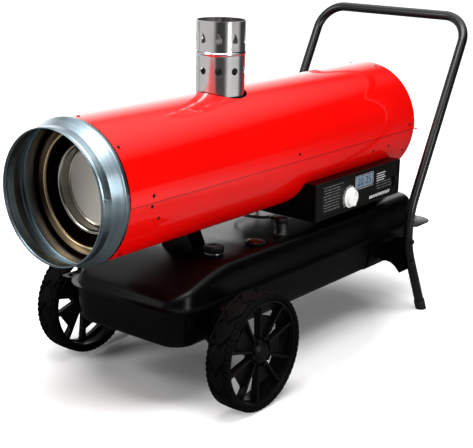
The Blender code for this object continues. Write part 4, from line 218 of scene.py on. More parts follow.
# Plain paints: name, dark and light colour, roughness range, metallic, patch, grain, bump, extras
plainPaints = {
    "screw": ("black_oxide_screw", "#1c1513", "#2b2220", (0.3, 0.45), 1, 60, 900, 0.05, {}),
    "black": ("satin_black_powder_coat", "#020202", "#050505", (0.22, 0.30), 0, 6, 1400, 0.05,
              {"specular": 0.07}),
    "tube": ("gloss_black_tube_enamel", "#070708", "#0b0b0c", (0.22, 0.30), 0, 5, 700, 0.04,
             {"coat": 0.1, "coatRough": 0.12, "specular": 0.3}),
    "tread": ("black_tyre_rubber", "#040404", "#080808", (0.50, 0.66), 0, 20, 1600, 0.25,
              {"specular": 0.03}),
    "hose": ("black_fuel_hose_rubber", "#0a0a0a", "#111111", (0.5, 0.65), 0, 30, 900, 0.2, {}),
    "plastic": ("black_moulded_polypropylene", "#040405", "#080809", (0.36, 0.5), 0, 12, 1500, 0.12,
                {"specular": 0.12}),
    "rimPlastic": ("black_glass_filled_nylon", "#050505", "#09090a", (0.32, 0.46), 0, 14, 1200,
                   0.12, {"specular": 0.09}),
    "white": ("white_moulded_abs", "#ecece9", "#f6f6f4", (0.22, 0.32), 0, 8, 900, 0.03, {}),
    "redPlastic": ("red_moulded_abs", "#a5201a", "#b82a20", (0.25, 0.35), 0, 20, 900, 0.05, {}),
    "zinc": ("zinc_plated_steel", "#a7adb0", "#c4c9cb", (0.24, 0.40), 1, 30, 500, 0.06, {}),
    "stainless": ("bright_stainless_sheet", "#bcbab9", "#d2d0cf", (0.10, 0.20), 1, 7, 160, 0.03,
                  {"stretch": (1, 1, 12)}),
    "cast": ("cast_aluminium", "#8b8e8e", "#a5a8a8", (0.45, 0.6), 1, 18, 700, 0.25, {}),
    "brass": ("satin_brass", "#a98a42", "#c3a558", (0.25, 0.38), 1, 25, 600, 0.05, {}),
    "board": ("green_solder_resist", "#16492a", "#206038", (0.3, 0.45), 0, 60, 900, 0.1, {}),
    "ceramic": ("white_glazed_ceramic", "#ddd9cf", "#eeebe3", (0.15, 0.28), 0, 25, 600, 0.04, {}),
    "print": ("white_screen_print", "#dcdddd", "#e9e9e8", (0.4, 0.5), 0, 40, 900, 0.02, {}),
    "smallPrint": ("grey_screen_print", "#85878a", "#9a9c9e", (0.4, 0.5), 0, 40, 900, 0.02, {}),
    "label": ("black_label_film", "#060607", "#0a0a0b", (0.34, 0.44), 0, 10, 900, 0.03,
              {"specular": 0.15}),
    "display": ("grey_blue_display_film", "#6d8296", "#8498aa", (0.12, 0.2), 0, 6, 600, 0.01,
                {"coat": 0.5}),
    "digits": ("dark_display_segments", "#26303c", "#2c3744", (0.2, 0.3), 0, 30, 600, 0.01, {}),
}
paints = {key: surface(*row[:-1], **row[-1]) for key, row in plainPaints.items()}
paints.update({
    "upperRed": redCoat("gloss_red_powder_coat", 0.1650),
    "lowerRed": redCoat("gloss_red_powder_coat_lower", 0.1632, True),
    "chamber": chamberSteel("heat_resistant_steel", 0.0895),
    "galvanised": galvanised("galvanised_zinc_spangle", "#62727a", "#78878e", "#89969b"),
    "drum": heatTinted("heat_tinted_steel", 0.131, 0.163, (
        (0.0, "#b0a594"), (0.35, "#c4a882"), (0.6, "#b58a5e"), (0.8, "#8a6855"), (1.0, "#74767b"))),
    "lens": clearGlass("clear_polycarbonate", "#eef2f2", 0.05),
    "bowl": clearGlass("smoked_filter_bowl", "#4a4a44", 0.08),
})
print("materials made:", len(paints))


# Mesh helpers: a part is (vertices, faces), and several parts can make one piece

def gridPart(points, closeU=False, closeV=False, caps=False):
    # points[u, v] joined into quads, wrapping round where the sheet closes
    count = points.shape[:2]
    ids = np.arange(count[0] * count[1]).reshape(count)
    wrap = np.vstack([ids, ids[:1]]) if closeU else ids
    wrap = np.hstack([wrap, wrap[:, :1]]) if closeV else wrap
    quads = np.stack([wrap[:-1, :-1], wrap[1:, :-1], wrap[1:, 1:], wrap[:-1, 1:]], -1)
    faces = quads.reshape(-1, 4).tolist()
    if caps:
        faces += [ids[0][::-1].tolist(), ids[-1].tolist()]
    return points.reshape(-1, 3), faces


def joinParts(parts):
    verts, faces, start = [], [], 0
    for part in parts:
        verts.append(part[0])
        faces += [[i + start for i in face] for face in part[1]]
        start += len(part[0])
    return np.vstack(verts), faces


turns = {"z": np.eye(3), "y": np.array([[1, 0, 0], [0, 0, 1], [0, -1, 0]], float),
         "x": np.array([[0, 0, 1], [0, 1, 0], [-1, 0, 0]], float),
         "-x": np.array([[0, 0, -1], [0, 1, 0], [1, 0, 0]], float)}


def put(part, place, axis="z", spin=0.0):
    # turn about the part's own z by spin, then lay that z along the axis, then move
    c, s = math.cos(spin), math.sin(spin)
    first = np.array([[c, -s, 0], [s, c, 0], [0, 0, 1]])
    return part[0] @ first.T @ turns[axis].T + np.array(place), part[1]


def spun(part, angle):
    return put(part, (0, 0, 0), "z", angle)


def mirrorX(part):
    return part[0] * (-1.0, 1.0, 1.0), [face[::-1] for face in part[1]]


def rounded(line, size, steps=3, closed=False):
    # each corner becomes (1-t)^2 a + 2t(1-t) c + t^2 b, with a and b at most size away from c
    points = [np.array(p, float) for p in line]
    count = len(points)
    result = []
    for i, corner in enumerate(points):
        if not closed and i in (0, count - 1):
            result.append(corner)
            continue
        before, after = points[i - 1], points[(i + 1) % count]
        near, far = np.linalg.norm(before - corner), np.linalg.norm(after - corner)
        a = corner + (before - corner) / near * min(size, near * 0.45)
        b = corner + (after - corner) / far * min(size, far * 0.45)
        for k in range(steps + 1):
            t = k / steps
            result.append((1 - t) ** 2 * a + 2 * t * (1 - t) * corner + t * t * b)
    return np.array(result)


def wholeTurn(steps):
    return np.linspace(0, 2 * math.pi, steps, endpoint=False)


def revolve(profile, steps, closed=False, ribs=None):
    # point = (r cos a, r sin a, h); ribs take depth * (0.5 + 0.5 cos(count a))^power off each
    # row whose radius is above the limit
    profile = np.array(profile, float)
    angle = wholeTurn(steps)
    radius = np.tile(profile[:, 0], (steps, 1))
    if ribs:
        count, depth, limit, power = ribs
        wave = depth * (0.5 + 0.5 * np.cos(count * angle)) ** power
        radius = radius - wave[:, None] * (profile[:, 0] > limit)
    points = np.stack([radius * np.cos(angle)[:, None], radius * np.sin(angle)[:, None],
                       np.tile(profile[:, 1], (steps, 1))], -1)
    return gridPart(points, closeU=True, closeV=closed)


def unit(rows):
    return rows / np.linalg.norm(rows, axis=1)[:, None]


def leftOf(steps):
    way = unit(steps)
    return np.stack([-way[:, 1], way[:, 0]], -1)


def mitre(before, after):
    # shift of a corner between two sides moved by 1 along these normals
    return (before + after) / (1 + (before * after).sum(1))[:, None]


def sheetLine(line, thickness):
    # the line, and back along it at the sheet's thickness to its left
    points = np.array(line, float)
    left = leftOf(np.diff(points, axis=0))
    shift = mitre(np.vstack([left[:1], left]), np.vstack([left, left[-1:]]))
    return np.vstack([points, (points + shift * thickness)[::-1]])


def sweep(path, radius, sides):
    # circles square to the path, carried along it without twist
    path = np.array(path, float)
    way = unit(np.diff(path, axis=0))
    tangent = unit(np.vstack([way[:1], way[:-1] + way[1:], way[-1:]]))
    side = np.cross(tangent[0], (0.31, 0.52, 0.79))
    angle = wholeTurn(sides)
    rings = []
    for point, along in zip(path, tangent):
        side = side - along * (side @ along)
        side /= np.linalg.norm(side)
        circle = np.outer(np.cos(angle), side) + np.outer(np.sin(angle), np.cross(along, side))
        rings.append(point + radius * circle)
    return gridPart(np.array(rings), closeV=True, caps=True)


def smoothPath(knots, steps):
    # Catmull-Rom through the knots
    points = np.array(knots, float)
    padded = np.vstack([2 * points[0] - points[1], points, 2 * points[-1] - points[-2]])
    path = []
    for a, b, c, d in zip(padded, padded[1:], padded[2:], padded[3:]):
        for i in range(steps):
            t = i / steps
            path.append(0.5 * (2 * b + (c - a) * t + (2 * a - 5 * b + 4 * c - d) * t ** 2
                               + (3 * b - a - 3 * c + d) * t ** 3))
    return np.array(path + [points[-1]])


def insetOutline(outline, distance):
    # move each point of a closed outline inwards along its mitre
    points = np.array(outline, float)
    left = leftOf(np.roll(points, -1, 0) - points)
    return points + mitre(np.roll(left, 1, 0), left) * distance


def level(outline, height):
    return np.column_stack([outline[:, 0], outline[:, 1], np.full(len(outline), height)])


def slab(outline, low, high, bevel, steps=2):
    # anticlockwise outline extruded along z, its rims rounded on a quarter circle
    outline = np.array(outline, float)
    rings = []
    for k in range(steps + 1):
        a = k / steps * math.pi / 2
        ring = insetOutline(outline, bevel * (1 - math.sin(a)))
        rings.append(level(ring, low + bevel * (1 - math.cos(a))))
    rings += [level(ring, high + low - ring[0, 2]) for ring in rings[::-1]]
    return gridPart(np.array(rings), closeV=True, caps=True)


def arc(centre, radius, start, stop, count):
    # points on a circle between two angles in degrees
    return [(centre[0] + radius * math.cos(a), centre[1] + radius * math.sin(a))
            for a in np.radians(np.linspace(start, stop, count))]


def roundRect(low, high, radius, steps=6):
    left, bottom, right, top = low[0] + radius, low[1] + radius, high[0] - radius, high[1] - radius
    corners = ((right, bottom), (right, top), (left, top), (left, bottom))
    return [point for i, centre in enumerate(corners)
            for point in arc(centre, radius, 90 * (i - 1), 90 * i, steps + 1)]


def polygon(sides, radius):
    return arc((0, 0), radius, 0, 360, sides + 1)[:-1]


def lathe(line, size, sides, steps=3, closed=False, ribs=None):
    # a profile of (radius, height) with its corners rounded, turned about z
    return revolve(rounded(line, size, steps, closed), sides, closed, ribs)


def ringPart(inner, outer, low, high, sides, size=0.0, steps=3):
    # ring of rectangular section, its corners rounded where a size is given
    section = [(inner, low), (outer, low), (outer, high), (inner, high)]
    return revolve(rounded(section, size, steps, True) if size else section, sides, True)


def bead(radius, height, thickness, sides, steps):
    # ring of round section
    return revolve(np.array(polygon(sides, thickness)) + (radius, height), steps, True)


def punch(outline, low, high):
    # sharp-edged block that cuts a hole
    return slab(outline, low, high, 0.00001, 1)


def facingX(part, x=0.0):
    # outline drawn as (y, z), height as x
    y, z, height = part[0].T
    return np.column_stack([height + x, y, z]), part[1]


def wrapped(part, radius, degrees, lift=0.0):
    # x runs round the radius from that angle, y stays along the axis, z points outwards
    x, y, z = part[0].T
    a, reach = math.radians(degrees) + x / radius, radius + z + lift
    return np.column_stack([reach * np.cos(a), reach * np.sin(a), y]), part[1]


def plug(radius, low, high, sides):
    return revolve([(0, low), (radius, low), (radius, high), (0, high)], sides)


def aimed(part, way, place):
    # turn the part's z along the way, then move it
    turn = np.array(Vector((0, 0, 1)).rotation_difference(Vector(way)).to_matrix())
    return part[0] @ turn.T + np.array(place), part[1]


def screwHead(radius, height, socket=True):
    # domed head on a quarter ellipse, (r cos a, h sin a), with or without a dip
    dome = [(x * radius, y * height) for x, y in arc((0, 0), 1.0, 0, 90, 7)[:-1]]
    tip = [(radius * 0.3, height * 0.96), (radius * 0.24, height * 0.45), (0.0, height * 0.4)]
    foot = [(0.0, -height * 0.3), (radius, -height * 0.3)]
    return revolve(foot + dome + (tip if socket else [(0.0, height)]), 20)


def rivetHead(radius, height):
    return screwHead(radius, height, False)


def hexBolt(radius, height):
    washer = lathe([(0, 0), (radius * 1.35, 0), (radius * 1.35, height * 0.25),
                    (0, height * 0.25)], radius * 0.08, 32)
    head = slab(polygon(6, radius), height * 0.25, height, radius * 0.12)
    return joinParts([washer, head])


def addObject(name, data):
    item = bpy.data.objects.new(name, data)
    bpy.context.scene.collection.objects.link(item)
    return item


def smooth(data, sharp):
    data.shade_smooth()
    data.set_sharp_from_angle(angle=math.radians(sharp))


def makeObject(name, parts, material, sharp=32):
    data = bpy.data.meshes.new(name)
    verts, faces = joinParts(parts)
    data.from_pydata(verts.tolist(), [], faces)
    mesh = bmesh.new()
    mesh.from_mesh(data)
    bmesh.ops.remove_doubles(mesh, verts=mesh.verts, dist=1e-6)
    bmesh.ops.recalc_face_normals(mesh, faces=mesh.faces)
    mesh.to_mesh(data)
    mesh.free()
    smooth(data, sharp)
    data.materials.append(material)
    return addObject(name, data)


def enrol(piece, body="heater", hides=None):
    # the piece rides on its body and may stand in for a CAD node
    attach(piece, body)
    if hides:
        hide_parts(hides)
    return piece


def finishPiece(name, parts, paint, body="heater", hides=None, sharp=32):
    return enrol(makeObject(name, parts, paints[paint], sharp), body, hides)


def carve(piece, parts, sharp=32):
    cutter = makeObject("cutter", parts, piece.data.materials[0])
    change = piece.modifiers.new("carve", "BOOLEAN")
    change.operation, change.solver, change.object = "DIFFERENCE", "EXACT", cutter
    bpy.context.view_layer.update()
    shaped = bpy.data.meshes.new_from_object(
        piece.evaluated_get(bpy.context.evaluated_depsgraph_get()))
    piece.modifiers.clear()
    piece.data = shaped
    smooth(shaped, sharp)
    bpy.data.objects.remove(cutter, do_unlink=True)
    return piece


def letters(name, words, size, place, paint):
    # raised print on a face that looks towards +X
    curve = bpy.data.curves.new(name, "FONT")
    curve.body, curve.size, curve.extrude = words, size, 0.00005
    curve.align_x, curve.align_y = "CENTER", "CENTER"
    holder = addObject(name, curve)
    bpy.context.view_layer.update()
    data = bpy.data.meshes.new_from_object(holder)
    data.transform(Matrix.Translation(place) @ Matrix(((0, 0, 1, 0), (1, 0, 0, 0), (0, 1, 0, 0),
                                                       (0, 0, 0, 1))))
    bpy.data.objects.remove(holder, do_unlink=True)
    data.materials.clear()
    data.materials.append(paints[paint])
    return enrol(addObject(name, data))


# Camera at the photograph's view: azimuth, elevation and roll in degrees
view = {"azimuth": 37.925, "elevation": 16.279, "roll": 1.192,
        "place": (1.7388, -2.2859, 1.1588), "lens": 86.22, "sensor": 36.0, "reach": 60.0}


def makeCamera():
    turn, rise, roll = (math.radians(view[key]) for key in ("azimuth", "elevation", "roll"))
    back = Vector((math.sin(turn) * math.cos(rise), -math.cos(turn) * math.cos(rise),
                   math.sin(rise)))
    right = Vector((math.cos(turn), math.sin(turn), 0.0))
    up = back.cross(right)
    across = right * math.cos(roll) + up * math.sin(roll)
    upright = up * math.cos(roll) - right * math.sin(roll)
    data = bpy.data.cameras.new("camera")
    data.lens, data.sensor_width, data.clip_end = view["lens"], view["sensor"], view["reach"]
    camera = addObject("camera", data)
    camera.matrix_world = Matrix.Translation(view["place"]) @ Matrix(
        (across, upright, back)).transposed().to_4x4()
    bpy.context.scene.camera = camera


makeCamera()


# Casing: flue hole as radius, foot and top, hose holes as radius, foot and top below the axis
shells = {"nose": 0.0004, "steps": 181, "stations": 9, "flueHole": (0.066, 0.66, 0.72),
          "hoseHole": (0.008, -0.18, -0.10), "hosePlaces": ((-0.080, 0.1744), (-0.100, 0.2044))}
lapTab = {"low": (-0.001, -0.007), "high": (0.016, 0.007), "corner": 0.003, "half": 0.0007,
          "bevel": 0.0003, "ahead": 0.009, "turn": 0.35, "sink": 0.0015}
screws = {"radius": 0.0042, "height": 0.0019,
          "places": ((-0.6125, 44.45), (-0.5546, 2.5), (-0.5569, -5.85), (-0.5304, -17.35),
                     (-0.6009, -49.79), (-0.0146, 3.0), (0.3489, -15.08), (0.4278, -14.53),
                     (0.5266, -25.28), (0.5275, 2.2), (0.5275, 75.0), (-0.6125, 90.0))}


def casingShell(name, paint, radius, start, stop):
    # section of the sheet carried round the axis: x = r cos a, z = axis + r sin a
    inner, nose = radius - casing["sheet"], shells["nose"]
    front, rear = casing["front"], casing["rear"]
    stations = np.linspace(front + nose, rear - nose, shells["stations"])
    profile = [(inner + nose, front), (radius - nose, front)] + [(radius, y) for y in stations]
    profile += [(radius - nose, rear), (inner + nose, rear)] + [(inner, y) for y in stations[::-1]]
    reach, along = np.array(profile).T
    angle = np.radians(np.linspace(start, stop, shells["steps"]))[:, None]
    points = np.stack(np.broadcast_arrays(np.cos(angle) * reach, along,
                                          casing["axisZ"] + np.sin(angle) * reach), -1)
    return finishPiece(name + "_shell", [gridPart(points, closeV=True, caps=True)], paint,
                       hides=name)


def onCasing(y, degrees, lift=0.0):
    # point on the sheet at that angle, and the way out from the axis
    onUpper = -casing["seamDrop"] < degrees < 180 + casing["seamDrop"]
    a = math.radians(degrees)
    out = Vector((math.cos(a), 0, math.sin(a)))
    radius = casing["radius"] if onUpper else casing["lower"]
    return out * (radius + lift) + Vector((0, y, casing["axisZ"])), out


def makeCasing():
    drop, lap = casing["seamDrop"], casing["lap"] - casing["seamDrop"]
    upper = casingShell("casing_upper", "upperRed", casing["radius"], -drop, 180 + drop)
    carve(upper, [put(plug(*shells["flueHole"], 96), flueSpot)])
    lower = casingShell("casing_lower", "lowerRed", casing["lower"], 180 - lap, 360 + lap)
    carve(lower, [put(plug(*shells["hoseHole"], 32), place + (casing["axisZ"],))
                  for place in shells["hosePlaces"]])
    heads = []
    for y, degrees in screws["places"]:
        for angle in sorted({degrees, 180 - degrees}):
            place, out = onCasing(y, angle)
            heads.append(aimed(screwHead(screws["radius"], screws["height"]), out, place))
    t = lapTab
    tab = slab(roundRect(t["low"], t["high"], t["corner"]), -t["half"], t["half"], t["bevel"])
    tab = put(tab, onCasing(casing["rear"] - t["ahead"], t["turn"] - drop, -t["sink"])[0])
    finishPiece("casing_lap_tabs", [tab, mirrorX(tab)], "upperRed")
    finishPiece("casing_screws", heads, "screw")


makeCasing()
print("casing made")


# Outlet spigot: rim, groove, flare, collar and sleeve, as (radius, distance behind the rim);
# the lip and the rivets are given the same way, with a thickness or a head size
outlet = {"front": -0.6991, "sheet": 0.001, "steps": 240, "inset": 0.0006, "turn": 0.0018,
          "line": ((0.1521, 0.0), (0.1521, 0.0042), (0.1499, 0.0064), (0.1521, 0.0108),
                   (0.1526, 0.0309), (0.1648, 0.0559), (0.1674, 0.0603), (0.1674, 0.0698),
                   (0.1618, 0.0698), (0.1618, 0.0973)),
          "lip": (0.1513, 0.0012, 0.0011), "lapAngle": -8, "lapHalf": 0.004, "lapRise": 0.0012,
          "laps": ((0.1524, 0.0115, 0.029), (0.1671, 0.0608, 0.0692)),
          "rivet": (0.1508, 0.022, 0.0026, 0.0012), "rivetAngles": (172, 176)}


def makeOutlet():
    o = outlet
    line = rounded([(r - o["inset"], h) for r, h in o["line"]], o["turn"], 4)
    parts = [revolve(sheetLine(line, o["sheet"]), o["steps"], True),
             bead(*o["lip"], 12, o["steps"])]
    for radius, low, high in o["laps"]:
        strip = slab(roundRect((-o["lapHalf"], low), (o["lapHalf"], high), 0.0015), 0,
                     o["lapRise"], 0.0005)
        parts.append(wrapped(strip, radius, o["lapAngle"], -o["inset"]))
    parts = [put(part, (0, o["front"], casing["axisZ"]), "y") for part in parts]
    reach, behind, size, rise = o["rivet"]
    for a in np.radians(o["rivetAngles"]):
        inwards = Vector((-math.cos(a), 0, -math.sin(a)))
        spot = Vector((0, o["front"] + behind, casing["axisZ"])) - inwards * reach
        parts.append(aimed(rivetHead(size, rise), inwards, spot))
    finishPiece("outlet_spigot_sheet", parts, "galvanised", hides="outlet_spigot")


makeOutlet()


# Heat exchanger and chamber, seen through the outlet: (radius, distance behind the casing front)
exchanger = {"near": 0.1295, "far": 0.1540, "start": 0.0285, "end": 0.6485, "turn": 0.006,
             "stub": (0.0572, 0.0587, 0.690, 0.7188), "weld": (0.1310, 0.0293, 0.0009),
             "plates": (0.1532, 0.1615, (0.0885, 0.5665))}
chamber = {"radius": 0.107, "start": 0.0425, "length": 0.600, "rim": 0.013, "recess": 0.032,
           "sheet": 0.002, "bore": 0.0462, "plates": (0.1062, 0.1322, (0.1025, 0.5605))}
plates = {"half": 0.0015, "length": 0.022, "bevel": 0.0003, "angles": (-90, 30, 150)}
casingFront = (0, casing["front"], casing["axisZ"])


def radialPlates(inner, outer, starts):
    half = plates["half"]
    outline = [(inner, -half), (outer, -half), (outer, half), (inner, half)]
    return [put(slab(outline, start, start + plates["length"], plates["bevel"]), casingFront, "y",
                -math.radians(degrees)) for start in starts for degrees in plates["angles"]]


def makeExchanger():
    e = exchanger
    drum = ringPart(e["near"], e["far"], e["start"], e["end"], 180, e["turn"], 6)
    parts = [put(drum, casingFront, "y"), put(bead(*e["weld"], 8, 180), casingFront, "y"),
             put(ringPart(*e["stub"], 96), flueSpot)] + radialPlates(*e["plates"])
    finishPiece("exchanger_drum_dressed", parts, "drum", hides="exchanger_drum")

    c = chamber
    roll, shoulder = c["rim"] / 3, c["radius"] - c["rim"]
    line = [(0.0, c["recess"]), (shoulder * 0.5, c["recess"] - 0.0008),
            (shoulder, c["recess"] - 0.003), (shoulder, roll), (shoulder + roll, 0.0),
            (c["radius"] - roll, 0.0), (c["radius"], roll), (c["radius"], c["length"]),
            (c["bore"], c["length"])]
    section = sheetLine(rounded(line, 0.004, 5), c["sheet"])
    section[-1, 0] = 0.0
    shell = put(revolve(section, 180), (0, casing["front"] + c["start"], casing["axisZ"]), "y")
    finishPiece("combustion_chamber_dressed", [shell] + radialPlates(*c["plates"]), "chamber",
                hides="combustion_chamber")


makeExchanger()
print("outlet and exchanger made")


# Flue: heights above the floor, holes in two rings
flue = {"radius": 0.060, "foot": 0.6858, "top": 0.865, "bead": 0.787, "beadSize": 0.0022,
        "beadHalf": 0.0042, "beadFlat": 0.0012, "turn": 24.5, "count": 9, "roundDrop": 0.119,
        "roundRadius": 0.0088, "flameDrop": 0.055, "flameHeight": 0.029, "flameWidth": 0.0165,
        "flame": ((0.0, 0.14), (0.26, 0.0), (0.50, 0.30), (0.30, 0.66), (-0.22, 1.0),
                  (-0.12, 0.66), (-0.50, 0.34), (-0.30, 0.02)),
        "seamAngle": -113, "seamHalf": 0.0035, "seamRise": 0.0007, "seamLength": 0.0752}


def makeFlue():
    f = flue
    radius, swollen = f["radius"], f["radius"] + f["beadSize"]
    line = [(radius, f["foot"]), (radius, f["bead"] - f["beadHalf"]),
            (swollen, f["bead"] - f["beadFlat"]), (swollen, f["bead"] + f["beadFlat"]),
            (radius, f["bead"] + f["beadHalf"]), (radius, f["top"])]
    section = sheetLine(rounded(line, 0.002, 4), 0.001)
    pipe = finishPiece("flue_pipe_sheet", [put(revolve(section, 192, True), flueSpot)],
                       "stainless", hides="flue_pipe")
    flame = rounded([(u * f["flameWidth"], v * f["flameHeight"]) for u, v in f["flame"]], 0.0035,
                    closed=True)
    holes = ((flame, f["top"] - f["flameDrop"]),
             (polygon(28, f["roundRadius"]), f["top"] - f["roundDrop"]))
    carve(pipe, [put(facingX(punch(outline, 0.052, 0.068)), (0, flueSpot[1], height), "z",
                     math.radians(f["turn"]) + angle)
                 for outline, height in holes for angle in wholeTurn(f["count"])])
    strip, faces = slab(roundRect((-f["seamHalf"], 0), (f["seamHalf"], f["seamLength"]), 0.001), 0,
                        f["seamRise"], 0.0002)
    seams = []
    for low, high in ((f["foot"] + 0.008, f["bead"] - 0.006),
                      (f["bead"] + 0.006, f["top"] - 0.001)):
        stretched = strip * (1, (high - low) / f["seamLength"], 1) + (0, low, 0)
        seams.append(put(wrapped((stretched, faces), radius, f["seamAngle"], -0.0001), flueSpot))
    finishPiece("flue_lap_seam", seams, "stainless")


makeFlue()
print("flue made")


# Tank: two pressings that meet in a flange, as rows of (inset, share of the rise)
tankRows = {"upper": ((0.0, 0.0), (0.0140, 0.0), (0.0162, 0.10), (0.0190, 0.34), (0.0225, 0.62),
                      (0.0252, 0.755), (0.0290, 0.855), (0.0338, 0.925), (0.0390, 0.968),
                      (0.0450, 0.990), (0.0520, 1.0)),
            "lower": ((0.0, 0.0), (0.0140, 0.0), (0.0152, 0.12), (0.0178, 0.45), (0.0205, 0.78),
                      (0.0224, 0.885), (0.0250, 0.945), (0.0288, 0.985), (0.0330, 1.0))}
ear = {"reach": 0.028, "length": 0.1135, "frontTurn": 0.009, "rearTurn": 0.05, "lap": 0.007,
       "sheet": 0.0013, "clear": 0.0001, "inset": 0.0003}
holeSpan = (0.30, 0.34, 48)
barb = {"place": (-0.106, 0.1744, 0), "section": (0.0025, 0.005, 0.3212, 0.338)}


def tankRing(inset, heightAt, share, shift):
    # plan outline of the tank drawn in by the inset, at the height its share of the rise gives
    half, radius = tank["half"] - inset, tank["corner"] - inset
    front, rear = tank["front"] + tank["corner"], tank["rear"] - tank["corner"]
    rampEnd = tank["front"] + tank["rampEnd"]
    side = [*np.linspace(front, rampEnd, 12)[1:-1], *np.linspace(rampEnd, rear, 8)[:-1]]
    line = np.array(arc((half - radius, front), radius, -90, 0, 13) + [(half, y) for y in side]
                    + arc((half - radius, rear), radius, 0, 90, 13))
    outline = np.vstack([line, line[::-1] * (-1, 1)])
    return np.column_stack([outline, heightAt(outline[:, 1], share) + shift])


def pressedShell(rows, heightAt, drop):
    # outer skin, flat web made of strips across, and the same again one sheet inside
    skins = []
    for shift, extra in ((0.0, 0.0), (drop, tank["sheet"])):
        rings = np.array([tankRing(inset + (extra if i else 0.0), heightAt, share, shift)
                          for i, (inset, share) in enumerate(rows)])
        verts, faces = gridPart(rings, closeV=True)
        last = np.arange(len(verts) - rings.shape[1], len(verts)).tolist()
        faces += [[last[i], last[i + 1], last[-i - 2], last[-i - 1]]
                  for i in range(len(last) // 2 - 1)]
        skins.append((verts, faces))
    verts, faces = joinParts(skins)
    count, offset = rings.shape[1], len(skins[0][0])
    for i in range(count):
        j = (i + 1) % count
        faces.append([i, j, offset + j, offset + i])
    return verts, faces


def upperHeight(y, share):
    # the crest climbs from nose to top as 1 - (1 - t)^ease along the ramp
    base = tank["flange"] + gap / 2 + tank["sheet"]
    ramp = (y - tank["front"] - tank["rampStart"]) / (tank["rampEnd"] - tank["rampStart"])
    rise = 1 - (1 - np.clip(ramp, 0, 1)) ** tank["ease"]
    return base + share * (tank["nose"] + rise * (tank["top"] - tank["nose"]) - base)


def lowerHeight(y, share):
    top = tank["flange"] - gap / 2 - tank["sheet"]
    return np.full(len(y), top + share * (tank["bottom"] - top))


def flangeEar():
    # rounded ear that fills the right rear corner of the flange
    half, corner, e = tank["half"], tank["corner"], ear
    reach, rear, front = half + e["reach"], tank["rear"] - e["inset"], tank["rear"] - e["length"]
    small, large = e["frontTurn"], e["rearTurn"]
    points = arc((reach - small, front + small), small, -90, 0, 5)
    points += arc((reach - large, rear - large), large, 0, 90, 13)
    points += [(half - corner + e["lap"], rear)]
    points += arc((half - corner, tank["rear"] - corner), corner - e["lap"], 90, 0, 13)
    points += [(half - e["lap"], front)]
    top = tank["flange"] - gap / 2 - e["clear"]
    return slab(points, top - e["sheet"], top, e["inset"])


def makeTank():
    upper = finishPiece("fuel_tank_upper_pressing",
                        [pressedShell(tankRows["upper"], upperHeight, -tank["sheet"])], "black",
                        hides="fuel_tank_upper", sharp=26)
    carve(upper, [put(plug(part["hole"], *holeSpan), part["place"]) for part in (fuelCap, gauge)],
          sharp=26)
    tube = ringPart(*barb["section"], 24, 0.0008)
    finishPiece("return_barb", [put(tube, barb["place"])], "black")
    shell = pressedShell(tankRows["lower"], lowerHeight, tank["sheet"])
    finishPiece("fuel_tank_lower_pressing", [shell, flangeEar(), mirrorX(flangeEar())], "black",
                hides="fuel_tank_lower", sharp=26)


# Fittings on the tank: place, and sections as (radius, height above the floor)
fuelCap = {"place": (0.088, -0.2561, 0), "hole": 0.0193,
           "neck": ((0.017, 0.310), (0.019, 0.310), (0.019, 0.3223), (0.024, 0.3223),
                    (0.024, 0.3243), (0.019, 0.3243), (0.019, 0.336), (0.017, 0.336)),
           "line": ((0.0194, 0.3378), (0.0194, 0.3247), (0.026, 0.3247), (0.026, 0.3376),
                    (0.0224, 0.3406), (0.009, 0.3406), (0.008, 0.3396), (0.0, 0.3396)),
           "ribs": (28, 0.0011, 0.0245, 0.6), "lining": (0.0194, 0.3378, 0.3384)}
gauge = {"place": (0.119, -0.1311, 0), "hole": 0.012,
         "case": ((0.0, 0.238), (0.005, 0.238), (0.005, 0.3205), (0.0117, 0.3205),
                  (0.0117, 0.3223), (0.0245, 0.3223), (0.0245, 0.329), (0.0215, 0.329),
                  (0.0215, 0.3255), (0.001, 0.3255), (0.001, 0.3271), (0.0, 0.3271)),
         "pin": ((0.002, 0, 0.244), (0.0099, 0, 0.244)), "pinRadius": 0.002,
         "print": (0.32555, 0.3258), "ring": (0.0201, 0.0207), "ticks": 9, "tickHalf": 0.0005,
         "tickEnd": 0.0195, "tickStarts": (0.0150, 0.0172, 0.0172, 0.0172), "tickAngle": 15,
         "lens": ((0.0, 0.3278), (0.0212, 0.3278), (0.0212, 0.329), (0.0172, 0.3302),
                  (0.0, 0.3302))}
fuelFilter = {"place": (0.122, -0.0261, 0),
              "bowl": ((0.0, 0.3223), (0.017, 0.3223), (0.017, 0.3283), (0.01394, 0.3283),
                       (0.01394, 0.3543), (0.0, 0.3543)),
              "head": ((0.0, 0.3546), (0.017, 0.3546), (0.017, 0.36435), (0.0136, 0.3676),
                       (0.0, 0.3676)), "flutes": (24, 0.0007, 0.0160, 1),
              "spout": ((-0.0085, 0, 0.3611), (-0.018, 0, 0.3611), (-0.029, 0, 0.3611))}
hose = {"radius": 0.004, "clip": 0.0046, "sides": 20, "clipFromEnd": 6}
routes = {"suction": ((0.0927, -0.0261, 0.3611), (0.0867, -0.0261, 0.3611),
                      (0.0807, -0.0261, 0.3611), (0.050, -0.0196, 0.353),
                      (-0.020, -0.0076, 0.345), (-0.068, 0.0244, 0.344),
                      (-0.084, 0.0844, 0.344), (-0.085, 0.1444, 0.350),
                      (-0.080, 0.1744, 0.386), (-0.064, 0.1964, 0.430),
                      (-0.012, 0.2249, 0.4685), (-0.012, 0.2249, 0.4775),
                      (-0.012, 0.2249, 0.4865)),
          "return": ((-0.106, 0.1744, 0.3383), (-0.106, 0.1744, 0.3443),
                     (-0.106, 0.1744, 0.3503), (-0.106, 0.1844, 0.3663),
                     (-0.100, 0.2044, 0.400), (-0.080, 0.2224, 0.436), (0.0, 0.2349, 0.4565),
                     (0.012, 0.2249, 0.4685), (0.012, 0.2249, 0.4775), (0.012, 0.2249, 0.4865))}


